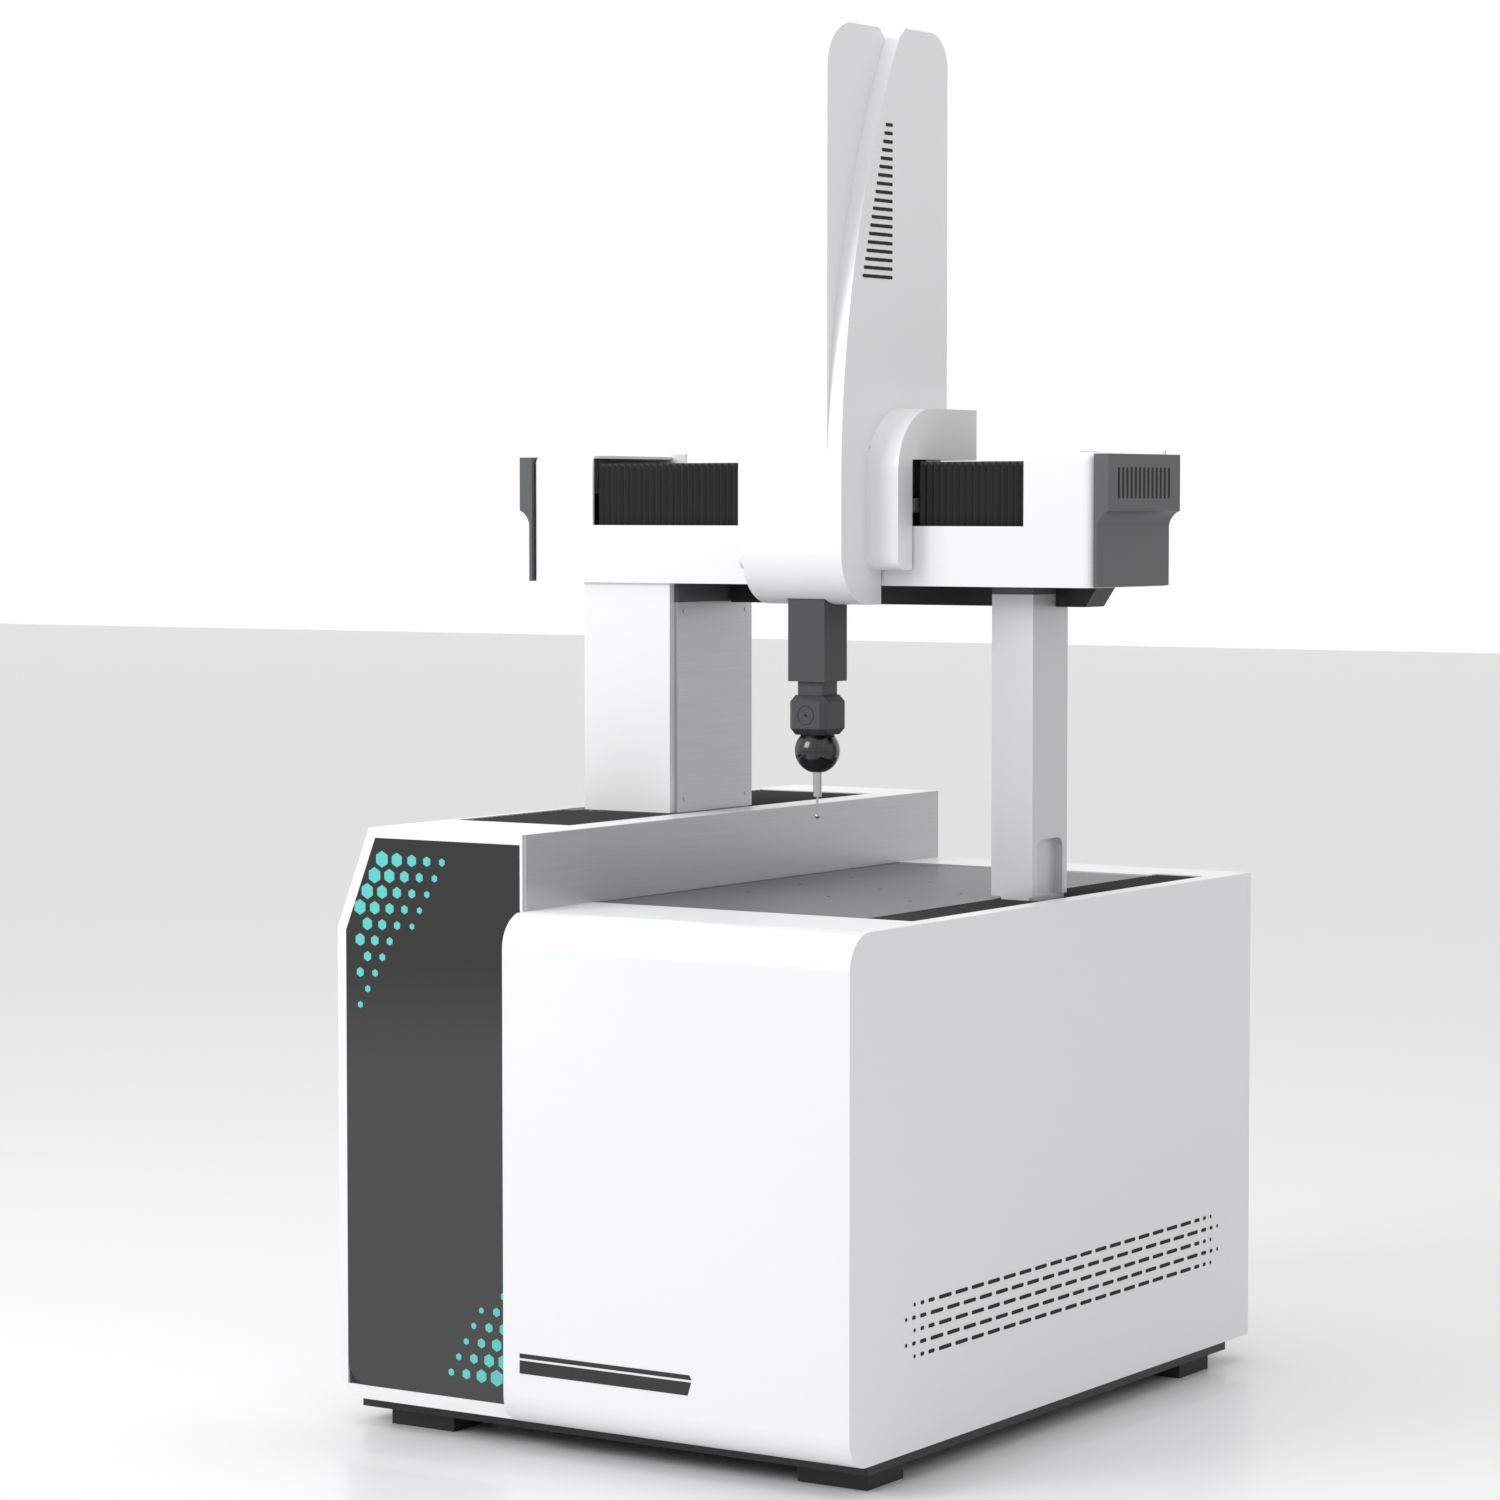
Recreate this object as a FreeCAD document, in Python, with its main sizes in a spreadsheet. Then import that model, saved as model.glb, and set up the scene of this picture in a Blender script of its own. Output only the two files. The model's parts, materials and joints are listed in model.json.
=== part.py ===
import FreeCAD, Part
import os
import re
import Sketcher

# Coordinate measuring machine with a moving bridge, in millimetres.  +Z is up, the machine's
# front faces -Y, and the origin is on the floor under the middle of the whole machine.
# A fixed base carries the measuring table and, on its left, a taller guide tower.  The bridge
# rolls along Y on a guide in the tower and on one beside the table.  The carriage with its tall
# column slides along the bridge's beam in X, and the square ram slides in the column in Z.  A
# probe head under the ram turns about Z and tilts its probe about a level axis.

SIZES = [
    # feet, base plate and posts
    ("foot_height", 20, "levelling foot, floor to base plate"),
    ("foot_length", 108, "foot pad along X"),
    ("foot_depth", 92, "foot pad along Y"),
    ("foot_inset", 1, "foot pads to the base plate's right and front"),
    ("foot_inset_left", 51, "foot pads to the base plate's left"),
    ("foot_inset_back", 55, "foot pads to the base plate's back"),
    ("plate_height", 18, "base plate"),
    ("plate_inset_side", 15, "base plate to the right side panel"),
    ("plate_inset_left", 17, "base plate to the tower's left face"),
    ("plate_inset_front", 70, "base plate to the front cover"),
    ("plate_inset_back", 46, "base plate to the back covers"),
    ("post_size", 60, "square posts under the table and guides"),
    # base covers
    ("half_depth", 574, "half of the base's depth"),
    ("table_height", 738, "floor to the top of the base covers"),
    ("sheet_wall", 3, "sheet of the base covers"),
    ("panel_wall", 4, "right side panel, back panel and tower"),
    ("cover_depth", 206.5, "front cover, front to table"),
    ("cover_foot", 80, "front cover, lower flange"),
    ("cover_lip", 5.5, "front cover past the tower's right face"),
    ("cover_top_radius", 49, "front cover, upper edge"),
    ("cover_low_radius", 42, "front cover, lower edge"),
    ("trim_width", 29, "strip between the right slot and the side"),
    ("slot_width", 78, "right bellows slot"),
    ("slot_front", 3.5, "right slot behind the front cover"),
    ("slot_back", 98, "right slot to the base's back"),
    ("back_strip", 120, "white strip behind the table"),
    # measuring table
    ("table_width", 437, "table along X"),
    ("table_gap", 15, "table to the back strip"),
    ("table_thickness", 60, "table slab"),
    ("table_recess", 1, "table under the covers' top"),
    ("insert_radius", 3.4, "tapped insert"),
    ("insert_depth", 20, "tapped insert"),
    ("insert_pitch_x", 135, "inserts along X"),
    ("insert_pitch_y", 140, "inserts along Y"),
    # guide tower
    ("overhang_left", 5.5, "beam cap past the tower"),
    ("overhang_right", 112.5, "beam cap past the side panel"),
    ("tower_width", 319, "tower along X"),
    ("tower_rise", 104, "tower above the base covers"),
    ("tower_setback", 39, "tower front behind the base front"),
    ("tower_chamfer_x", 56, "slanted upper left edge"),
    ("tower_chamfer_z", 142, "slanted upper left edge"),
    ("tower_radius", 40, "tower's lower left corner"),
    ("guard_thickness", 4, "brushed guard plate beside the table"),
    ("tower_frame", 15, "white rim left of the glass"),
    ("tower_frame_low", 19, "white rim under the glass"),
    ("tower_frame_top", 14, "white rim over the glass"),
    ("glass_corner_x", 11, "slanted rim along X"),
    ("glass_corner_z", 3, "slanted rim along Z"),
    ("glass_radius", 35, "glass panel's lower left corner"),
    ("glass_thickness", 4, "glass panel"),
    ("glass_gap", 0.1, "glass panel in its frame"),
    ("tower_slot_inset", 68.5, "tower slot to the tower's left face"),
    ("tower_slot_width", 199.5, "tower slot"),
    ("tower_slot_front", 224, "tower slot to the base's front"),
    ("tower_slot_back", 119, "tower slot to the base's back"),
    # guides of the bridge
    ("guide_end", 74, "guide beams to the base's front and back"),
    ("left_guide_width", 160, "left guide beam"),
    ("left_guide_height", 200, "left guide beam"),
    ("left_guide_drop", 82, "left guide beam's top under the tower's top"),
    ("right_guide_width", 55, "right guide beam"),
    ("right_guide_height", 190, "right guide beam"),
    ("right_guide_drop", 56, "right guide beam's top under the table level"),
    ("rail_width", 20, "guide rails"),
    ("rail_height", 14, "guide rails"),
    ("rail_inset", 16, "guide rail to the guide beam's edge"),
    ("block_length", 70, "bearing blocks"),
    ("block_side", 10, "bearing block's cheek beside its rail"),
    ("block_top", 12, "bearing block over its rail"),
    ("run_gap", 0.4, "moving pieces to fixed ones"),
    ("saddle_thickness", 25, "left saddle plate"),
    ("saddle_reach", 56, "left saddle past the leg, front and back"),
    ("screw_radius", 8, "bridge drive screw"),
    ("screw_gap", 0.08, "drive screws in their nuts"),
    ("nut_side", 17, "drive nut around its screw"),
    ("motor_radius", 25, "bridge motor"),
    ("motor_length", 32, "bridge motor"),
    ("bearing_length", 15, "screw end bearings"),
    ("controller_height", 320, "controller box"),
    ("controller_depth", 620, "controller box"),
    ("controller_width", 240, "controller box"),
    # bellows in the slots
    ("bellows_depth", 13, "bellows in the slots"),
    ("bellows_gap", 0.6, "bellows to the slots' walls"),
    # legs
    ("leg_inset", 106, "left leg cover to the tower's left face"),
    ("leg_width", 151, "left leg cover"),
    ("leg_front", 84, "left leg cover before the bridge's datum"),
    ("leg_back", 125, "left leg behind the bridge's datum"),
    ("leg_cover", 12, "left leg cover"),
    ("leg_plate", 6, "brushed side plates"),
    ("leg_rise", 335, "tower top to the beam"),
    ("leg_lift", 1, "leg over the tower's top"),
    ("leg_cap", 28, "dark caps under the beam"),
    ("right_leg_overlap", 11, "right leg over the table's edge"),
    ("right_leg_width", 66, "right leg"),
    ("right_leg_front", 4, "right leg before the bridge's datum"),
    ("right_leg_back", 96, "right leg behind the bridge's datum"),
    ("right_leg_lift", 3, "right leg over the table level"),
    ("right_leg_cap", 12, "right leg's cap"),
    ("neck_inset", 5, "right leg's neck inside the slot"),
    ("recess_depth", 12, "recess in the right leg"),
    ("recess_inset", 13, "recess to the leg's front and back"),
    ("recess_height", 80, "recess in the right leg"),
    ("recess_radius", 14, "recess, upper corners"),
    # beam
    ("cap_width", 22, "end caps along X"),
    ("cap_step", 17, "end caps, lower part's inset"),
    ("cap_curve", 20, "end caps, curve under the vents"),
    ("cap_box", 80, "end caps, vented upper box"),
    ("cap_drop", 2, "end caps under the front cover's top"),
    ("beam_height", 185, "front cover"),
    ("beam_front", 91, "front cover before the bridge's datum"),
    ("beam_back", 120, "beam behind the bridge's datum"),
    ("beam_wall", 4, "beam covers"),
    ("beam_end_radius", 16, "front cover, upright end corners"),
    ("beam_top_radius", 10, "front cover, upper front edge"),
    ("window_inset", 109.5, "window to the front cover's end"),
    ("window_sill", 83.7, "window above the beam's bottom"),
    ("core_height", 130, "beam core"),
    ("core_front", 45, "core before the bridge's datum"),
    ("core_back", 75, "core behind the bridge's datum"),
    ("core_inset", 15, "core to the cover's end"),
    ("cross_rail_length", 710, "carriage rails"),
    ("cross_screw_radius", 6, "carriage drive screw"),
    ("cross_motor_radius", 15, "carriage motor"),
    ("cross_motor_length", 48, "carriage motor"),
    ("tray_depth", 55, "cable tray under the beam"),
    ("tray_height", 30, "cable tray"),
    ("tray_back", 115, "cable tray behind the bridge's datum"),
    ("tray_left", 274.5, "cable tray to the beam core's left end"),
    ("tray_right", 60, "cable tray to the beam core's right end"),
    ("tray_bevel", 20, "cable tray's slanted end"),
    ("back_raise", 4, "back cover's raised ends"),
    ("beam_bellows_front", 82, "beam bellows before the bridge's datum"),
    ("beam_bellows_top", 11.5, "beam bellows under the front cover's top"),
    ("beam_bellows_depth", 7, "beam bellows"),
    # carriage
    ("carriage_offset", 52.6, "column centre to the machine's middle"),
    ("column_width", 163.8, "column"),
    ("nose_width", 117, "column nose"),
    ("column_front", 200, "column before the bridge's datum"),
    ("column_back", 86, "column behind the bridge's datum"),
    ("column_drop", 26, "column under the beam's bottom"),
    ("column_height", 807, "column"),
    ("column_wall", 3, "column covers"),
    ("column_low_radius", 70, "column, lower front edge"),
    ("column_nose_radius", 65, "column, upper front edge"),
    ("column_back_radius", 47, "column, upper back edge"),
    ("lean_radius", 1350, "curve of the leaning front"),
    ("lean_top", 153, "leaning front's top behind the column's front"),
    ("lean_start", 203, "lower edge to the start of the leaning curve"),
    ("valley_width", 31, "valley between the nose and the shell"),
    ("lean_end_drop", 14, "leaning curve's end under the column's top"),
    ("side_cover_right", 50.8, "right side cover"),
    ("side_cover_left", 50.2, "left side cover"),
    ("side_cover_front", 133, "side covers before the bridge's datum"),
    ("side_cover_back", 84, "side covers behind the bridge's datum"),
    ("side_cover_low", 48.5, "side covers above the column's bottom"),
    ("side_cover_height", 225.3, "side covers"),
    ("side_cover_radius", 91, "side covers, upper front edge"),
    ("side_cover_small", 15, "side covers, lower front edge"),
    ("side_cover_wall", 3, "side covers"),
    ("saddle_front", 126, "carriage saddle before the bridge's datum"),
    ("saddle_low", 59, "carriage saddle above the column's bottom"),
    ("saddle_top", 18, "carriage saddle over the beam covers"),
    ("saddle_clear", 3, "carriage saddle to the beam's front cover"),
    ("saddle_end", 80, "carriage saddle behind the bridge's datum"),
    ("saddle_margin", 8, "carriage saddle inside the side covers"),
    ("saddle_bevel", 12, "carriage saddle's upper front edge"),
    ("channel_half", 43.5, "ram channel in the saddle"),
    ("channel_web", 5.5, "saddle behind the ram channel"),
    ("backbone_wall", 9, "column backbone"),
    ("backbone_top", 78, "backbone under the column's top"),
    ("lift_motor_radius", 24, "ram motor"),
    ("lift_motor_length", 55, "ram motor"),
    ("lift_screw_length", 300, "ram drive screw"),
    ("ram_gap", 2, "ram in the column's bottom plate"),
    # ram and probe
    ("ram_size", 60, "square ram"),
    ("ram_centre", 131, "ram before the bridge's datum"),
    ("ram_drop", 108, "ram's end under the column"),
    ("ram_length", 707, "ram"),
    ("ram_bore", 20, "hollow in the ram's upper half"),
    ("ram_bore_depth", 350, "hollow in the ram's upper half"),
    ("guide_ring_height", 60, "ram guide rings"),
    ("guide_ring_front", 14, "ram guide rings before the ram"),
    ("adapter_size", 40, "probe adapter"),
    ("adapter_height", 19.3, "probe adapter"),
    ("head_size", 62.6, "probe head body"),
    ("head_height", 56.1, "probe head body"),
    ("head_bevel", 9, "probe head body"),
    ("ball_radius", 32, "probe head ball"),
    ("ball_drop", 22.4, "head body to the ball's centre"),
    ("ball_flat", 30.3, "ball's centre to its flat bottom"),
    ("ball_slice", 15, "half of the tilting middle slice"),
    ("ball_gap", 0.4, "ball in the head body"),
    ("slice_gap", 0.3, "tilting slice to the swivel"),
    ("rotor_radius", 20.7, "swivel in the head body"),
    ("rotor_depth", 13.6, "swivel in the head body"),
    ("pin_radius", 4, "tilt pins"),
    ("pin_reach", 20, "tilt pins from the ball's centre"),
    ("pin_gap", 0.06, "tilt pins in the swivel"),
    ("module_radius", 6, "probe module"),
    ("module_length", 35, "probe module"),
    ("stylus_radius", 1.5, "stylus stem"),
    ("stylus_length", 24, "stylus stem"),
    ("tip_radius", 3.9, "stylus ball"),
]

DERIVED = [
    # X, from the left
    ("half_width", "(overhang_left + tower_width + guard_thickness + table_width + slot_width"
                   " + trim_width + overhang_right) / 2"),
    ("tower_left", "overhang_left - half_width"),
    ("tower_right", "tower_left + tower_width"),
    ("table_left", "tower_right + guard_thickness"),
    ("table_right", "table_left + table_width"),
    ("slot_right", "table_right + slot_width"),
    ("base_right", "slot_right + trim_width"),
    ("table_mid_x", "(table_left + table_right) / 2"),
    ("plate_left", "tower_left + plate_inset_left"),
    ("plate_right", "base_right - plate_inset_side"),
    # Y, from the front
    ("table_front", "cover_depth - half_depth"),
    ("strip_front", "half_depth - back_strip"),
    ("table_back", "strip_front - table_gap"),
    ("table_mid_y", "(table_front + table_back) / 2"),
    ("tower_front", "tower_setback - half_depth"),
    ("plate_front", "plate_inset_front - half_depth"),
    ("plate_back", "half_depth - plate_inset_back"),
    ("guide_front", "guide_end - half_depth"),
    ("guide_back", "half_depth - guide_end"),
    ("right_slot_front", "table_front + slot_front"),
    ("right_slot_back", "half_depth - slot_back"),
    ("tower_slot_y0", "tower_slot_front - half_depth"),
    ("tower_slot_y1", "half_depth - tower_slot_back"),
    ("tower_slot_x0", "tower_left + tower_slot_inset"),
    ("tower_slot_x1", "tower_slot_x0 + tower_slot_width"),
    # Z of the base
    ("plate_top", "foot_height + plate_height"),
    ("cover_low", "plate_top"),
    ("table_top", "table_height - table_recess"),
    ("table_low", "table_top - table_thickness"),
    ("tower_top", "table_height + tower_rise"),
    ("left_guide_top", "tower_top - left_guide_drop"),
    ("left_guide_low", "left_guide_top - left_guide_height"),
    ("right_guide_top", "table_height - right_guide_drop"),
    ("right_guide_low", "right_guide_top - right_guide_height"),
    ("left_guide_x0", "(tower_slot_x0 + tower_slot_x1 - left_guide_width) / 2"),
    ("left_guide_x1", "left_guide_x0 + left_guide_width"),
    ("screw_x", "(left_guide_x0 + left_guide_x1) / 2"),
    ("right_guide_x0", "(table_right + slot_right - right_guide_width) / 2"),
    ("right_guide_x1", "right_guide_x0 + right_guide_width"),
    ("right_rail_x", "(right_guide_x0 + right_guide_x1) / 2"),
    # legs and saddles
    ("leg_x0", "tower_left + leg_inset"),
    ("leg_x1", "leg_x0 + leg_width"),
    ("leg_low", "tower_top + leg_lift"),
    ("beam_bottom", "tower_top + leg_rise"),
    ("beam_top", "beam_bottom + beam_height"),
    ("saddle_z0", "left_guide_top + rail_height + run_gap + block_top"),
    ("saddle_z1", "saddle_z0 + saddle_thickness"),
    ("screw_z", "left_guide_top + nut_side + run_gap"),
    ("right_leg_x0", "table_right - right_leg_overlap"),
    ("right_leg_x1", "right_leg_x0 + right_leg_width"),
    ("right_leg_low", "table_height + right_leg_lift"),
    ("slider_top", "right_guide_top + rail_height + run_gap + block_top"),
    # beam
    ("beam_x0", "cap_width - half_width"),
    ("beam_x1", "half_width - cap_width"),
    ("window_x0", "beam_x0 + window_inset"),
    ("window_x1", "beam_x1 - window_inset"),
    ("window_z", "beam_bottom + window_sill"),
    ("core_x0", "beam_x0 + core_inset"),
    ("core_x1", "beam_x1 - core_inset"),
    ("core_z0", "beam_bottom"),
    ("core_z1", "core_z0 + core_height"),
    ("bellows_z", "beam_top - beam_bellows_top"),
    ("front_rail_z", "window_z + 29"),
    ("cross_screw_y", "core_back - 25"),
    ("cross_screw_z", "core_z1 + 16"),
    # carriage
    ("column_x0", "carriage_offset - column_width / 2"),
    ("column_x1", "carriage_offset + column_width / 2"),
    ("nose_x0", "carriage_offset - nose_width / 2"),
    ("nose_x1", "carriage_offset + nose_width / 2"),
    ("column_low", "beam_bottom - column_drop"),
    ("column_top", "column_low + column_height"),
    ("side_x0", "column_x0 - side_cover_left"),
    ("side_x1", "column_x1 + side_cover_right"),
    ("side_z0", "column_low + side_cover_low"),
    ("side_z1", "side_z0 + side_cover_height"),
    ("saddle_y1", "saddle_clear + beam_front"),
    ("arm_z0", "column_low + saddle_low"),
    ("arm_z1", "bellows_z + saddle_clear"),
    ("arm_z2", "arm_z1 + saddle_top"),
    ("backbone_z", "column_top - backbone_top"),
    # ram and probe
    ("ram_half", "ram_size / 2"),
    ("ram_low", "column_low - ram_drop"),
    ("ram_high", "ram_low + ram_length"),
    ("adapter_low", "ram_low - adapter_height"),
    ("head_low", "adapter_low - head_height"),
    ("ball_z", "head_low - ball_drop"),
    ("module_top", "ball_z - ball_flat"),
    ("module_low", "module_top - module_length"),
    ("stylus_low", "module_low - stylus_length"),
    ("tip_z", "stylus_low - tip_radius * 0.82"),
]

doc = FreeCAD.newDocument("CoordinateMeasuringMachine")
sheet = doc.addObject("Spreadsheet::Sheet", "Dimensions")
for row, (name, size, note) in enumerate(SIZES, 1):
    sheet.set("A%d" % row, note)
    sheet.set("B%d" % row, str(size))
    sheet.setAlias("B%d" % row, name)
doc.recompute()

derived = doc.addObject("Spreadsheet::Sheet", "Derived")
size_names = {name for name, size, note in SIZES}
derived_names = {name for name, formula in DERIVED}


def expand(formula, own=False):
    """The formula with each name written as the sheet cell that holds it."""
    def cell(match):
        word = match.group(0)
        if word in size_names:
            return "Dimensions." + word
        if word in derived_names:
            return word if own else "Derived." + word
        raise KeyError("no size is called " + word)
    return re.sub(r"[a-z][a-z_0-9]*", cell, str(formula))


for row, (name, formula) in enumerate(DERIVED, 1):
    derived.set("B%d" % row, "=" + expand(formula, own=True))
    derived.setAlias("B%d" % row, name)
doc.recompute()


def number(formula):
    """The formula's value now, for a first position of a sketch line or for a plain shape."""
    derived.set("D1", "=" + expand(formula, own=True))
    derived.recompute()
    return float(derived.get("D1"))


def bind(item, field, formula):
    item.setExpression(field, expand(formula))


NODES = []


def node(item):
    """Marks an object as one sub-part of the machine."""
    NODES.append(item)
    return item


def place(item, x, y, z):
    bind(item, "Placement.Base.x", x)
    bind(item, "Placement.Base.y", y)
    bind(item, "Placement.Base.z", z)


def box(label, x0, x1, y0, y1, z0, z1):
    """A block between two planes on each axis."""
    item = doc.addObject("Part::Box", label)
    item.Label = label
    bind(item, "Length", "(%s) - (%s)" % (x1, x0))
    bind(item, "Width", "(%s) - (%s)" % (y1, y0))
    bind(item, "Height", "(%s) - (%s)" % (z1, z0))
    place(item, x0, y0, z0)
    return item


TURNS = {
    "X": FreeCAD.Rotation(FreeCAD.Vector(0, 1, 0), 90),
    "Y": FreeCAD.Rotation(FreeCAD.Vector(1, 0, 0), -90),
    "Z": FreeCAD.Rotation(),
}


def cylinder(label, axis, x, y, z, radius, length):
    """A round bar that starts at a point and runs along +X, +Y or +Z."""
    item = doc.addObject("Part::Cylinder", label)
    item.Label = label
    item.Placement = FreeCAD.Placement(FreeCAD.Vector(), TURNS[axis])
    bind(item, "Radius", radius)
    bind(item, "Height", length)
    place(item, x, y, z)
    return item


def cut(label, base, tool):
    item = doc.addObject("Part::Cut", label)
    item.Label = label
    item.Base = base
    item.Tool = tool
    return item


def fuse(label, pieces):
    item = doc.addObject("Part::MultiFuse", label)
    item.Label = label
    item.Shapes = pieces
    return item


def together(label, pieces):
    """Several loose solids of one kind, kept as one sub-part."""
    item = doc.addObject("Part::Compound", label)
    item.Label = label
    item.Links = pieces
    return item


def new_body(label):
    item = doc.addObject("PartDesign::Body", label)
    item.Label = label
    return item


AXES = {"XY_Plane": (0, 1), "XZ_Plane": (0, 2), "YZ_Plane": (1, 2)}


def plane_of(part, role):
    return [item for item in part.Origin.OriginFeatures if item.Role == role][0]


def empty_sketch(part, role, name, level):
    """A sketch on a plane square to an axis, at the given place along that axis."""
    drawing = part.newObject("Sketcher::SketchObject", name)
    drawing.AttachmentSupport = (plane_of(part, role), [""])
    drawing.MapMode = "FlatFace"
    sign = "-1" if role == "XZ_Plane" else "1"
    bind(drawing, "AttachmentOffset.Base.z", "%s * (%s)" % (sign, level))
    return drawing


def fix(drawing, index, end, u, v, start):
    """Holds one end of a sketch line at (u, v) from the sketch's origin."""
    for kind, formula, value in (("DistanceX", u, start[0]), ("DistanceY", v, start[1])):
        rule = Sketcher.Constraint(kind, -1, 1, index, end, value)
        row = drawing.addConstraint(rule)
        bind(drawing, "Constraints[%d]" % row, formula)


def outline(part, role, name, level, points, arcs=None):
    """A closed outline through the points.  arcs maps the number of a side to its radius and
    to the side of the chord on which the curve bulges, 1 for left of the way and -1 for right."""
    arcs = arcs or {}
    drawing = empty_sketch(part, role, name, level)
    spots = [(number(u), number(v)) for u, v in points]
    ends = []
    for i, spot in enumerate(spots):
        start = FreeCAD.Vector(spot[0], spot[1], 0)
        far = spots[(i + 1) % len(spots)]
        finish = FreeCAD.Vector(far[0], far[1], 0)
        if i in arcs:
            radius = number(arcs[i][0])
            chord = finish - start
            half = chord.Length / 2
            rise = radius - (radius * radius - half * half) ** 0.5
            side = FreeCAD.Vector(-chord.y, chord.x, 0)
            side.normalize()
            middle = (start + finish) * 0.5 + side * (rise * arcs[i][1])
            drawing.addGeometry(Part.Arc(start, middle, finish), False)
        else:
            drawing.addGeometry(Part.LineSegment(start, finish), False)
        near = drawing.getPoint(i, 1)
        ends.append((1, 2) if (near - start).Length < 0.001 else (2, 1))
    for i in range(len(spots)):
        after = (i + 1) % len(spots)
        drawing.addConstraint(Sketcher.Constraint("Coincident", i, ends[i][1], after, ends[after][0]))
    for i, (u, v) in enumerate(points):
        fix(drawing, i, ends[i][0], u, v, spots[i])
    for i in arcs:
        row = drawing.addConstraint(Sketcher.Constraint("Radius", i, number(arcs[i][0])))
        bind(drawing, "Constraints[%d]" % row, arcs[i][0])
    return drawing


def rectangle(part, role, name, level, u0, u1, v0, v1):
    return outline(part, role, name, level, [(u0, v0), (u1, v0), (u1, v1), (u0, v1)])


def circles(part, role, name, level, centres, radius):
    drawing = empty_sketch(part, role, name, level)
    for i, (u, v) in enumerate(centres):
        spot = (number(u), number(v))
        middle = FreeCAD.Vector(spot[0], spot[1], 0)
        drawing.addGeometry(Part.Circle(middle, FreeCAD.Vector(0, 0, 1), number(radius)), False)
        fix(drawing, i, 3, u, v, spot)
        row = drawing.addConstraint(Sketcher.Constraint("Radius", i, number(radius)))
        bind(drawing, "Constraints[%d]" % row, radius)
    return drawing


def pad(part, drawing, length, name):
    item = part.newObject("PartDesign::Pad", name)
    item.Profile = drawing
    bind(item, "Length", length)
    part.Tip = item
    doc.recompute()
    return item


def pocket(part, drawing, length, name, along=True):
    """Cuts a sketch out of the body, the way its plane faces (X, Z or against Y) or back."""
    before = part.Shape.Volume
    item = part.newObject("PartDesign::Pocket", name)
    item.Profile = drawing
    item.Reversed = along
    bind(item, "Length", length)
    part.Tip = item
    doc.recompute()
    if not part.Shape.Volume < before - 0.001:
        raise RuntimeError(name + " cuts nothing")
    return item


def round_corners(part, role, corners, radius, name):
    """Rounds the edges that run square to the plane through the given corners."""
    first, second = AXES[role]
    wanted = [(number(u), number(v)) for u, v in corners]
    base = part.Tip
    names = []
    for i, edge in enumerate(base.Shape.Edges, 1):
        spots = [(v.Point[first], v.Point[second]) for v in edge.Vertexes]
        if len(spots) < 2 or max(abs(spots[0][k] - spots[1][k]) for k in (0, 1)) > 0.001:
            continue
        if any(max(abs(spots[0][k] - spot[k]) for k in (0, 1)) < 0.001 for spot in wanted):
            names.append("Edge%d" % i)
    if not names:
        raise RuntimeError(name + " finds no edge")
    item = part.newObject("PartDesign::Fillet", name)
    item.Base = (base, names)
    bind(item, "Radius", radius)
    part.Tip = item
    doc.recompute()
    return item


# ---------------------------------------------------------------- base, fixed on the floor

def foot(name, x, y):
    return box(name, x, x + " + foot_length", y, y + " + foot_depth", "0", "foot_height")


foot_x = ("plate_left + foot_inset_left", "plate_right - foot_inset - foot_length")
foot_y = ("plate_front + foot_inset", "plate_back - foot_inset_back - foot_depth")
feet = [foot("foot_%d%d" % (i, k), foot_x[i], foot_y[k]) for i in (0, 1) for k in (0, 1)]
node(together("levelling_feet", feet))
node(box("base_plate", "plate_left", "plate_right", "plate_front", "plate_back",
         "foot_height", "plate_top"))


def post(name, x, y, top):
    """A square post, centred on (x, y), that stands on the base plate."""
    half = " + post_size / 2"
    back = " - post_size / 2"
    return box(name, x + back, x + half, y + back, y + half, "plate_top", top)


posts = []
for i, x in enumerate(("table_left + post_size", "table_right - post_size")):
    for k, y in enumerate(("table_front + post_size", "table_mid_y", "table_back - post_size")):
        posts.append(post("table_post_%d%d" % (i, k), x, y, "table_low"))
for k, y in enumerate(("guide_front + post_size", "guide_back - post_size")):
    posts.append(post("left_post_%d" % k, "screw_x", y, "left_guide_low"))
    posts.append(post("right_post_%d" % k, "right_rail_x - run_gap", y, "right_guide_low"))
node(together("support_posts", posts))

table = new_body("measuring_table")
pad(table, rectangle(table, "XY_Plane", "slab", "table_low", "table_left", "table_right",
                     "table_front", "table_back"), "table_thickness", "slab_pad")
spots = [("table_mid_x + %d * insert_pitch_x" % i, "table_mid_y + %d * insert_pitch_y" % k)
         for i in (-1, 0, 1) for k in (-1, 0, 1)]
pocket(table, circles(table, "XY_Plane", "inserts", "table_top", spots, "insert_radius"),
       "insert_depth", "insert_holes", along=False)
node(table)

cover = new_body("right_front_cover")
pad(cover, outline(cover, "YZ_Plane", "cover_section", "tower_right - cover_lip", [
    ("table_front", "table_height"),
    ("-half_depth", "table_height"),
    ("-half_depth", "cover_low"),
    ("cover_foot - half_depth", "cover_low"),
    ("cover_foot - half_depth", "cover_low + sheet_wall"),
    ("sheet_wall - half_depth", "cover_low + sheet_wall"),
    ("sheet_wall - half_depth", "table_height - sheet_wall"),
    ("table_front", "table_height - sheet_wall"),
]), "base_right - panel_wall - tower_right + cover_lip", "cover_pad")
round_corners(cover, "YZ_Plane", [("-half_depth", "table_height")], "cover_top_radius", "top_bend")
round_corners(cover, "YZ_Plane", [("sheet_wall - half_depth", "table_height - sheet_wall")],
              "cover_top_radius - sheet_wall", "top_bend_inside")
round_corners(cover, "YZ_Plane", [("-half_depth", "cover_low")], "cover_low_radius", "low_bend")
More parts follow.
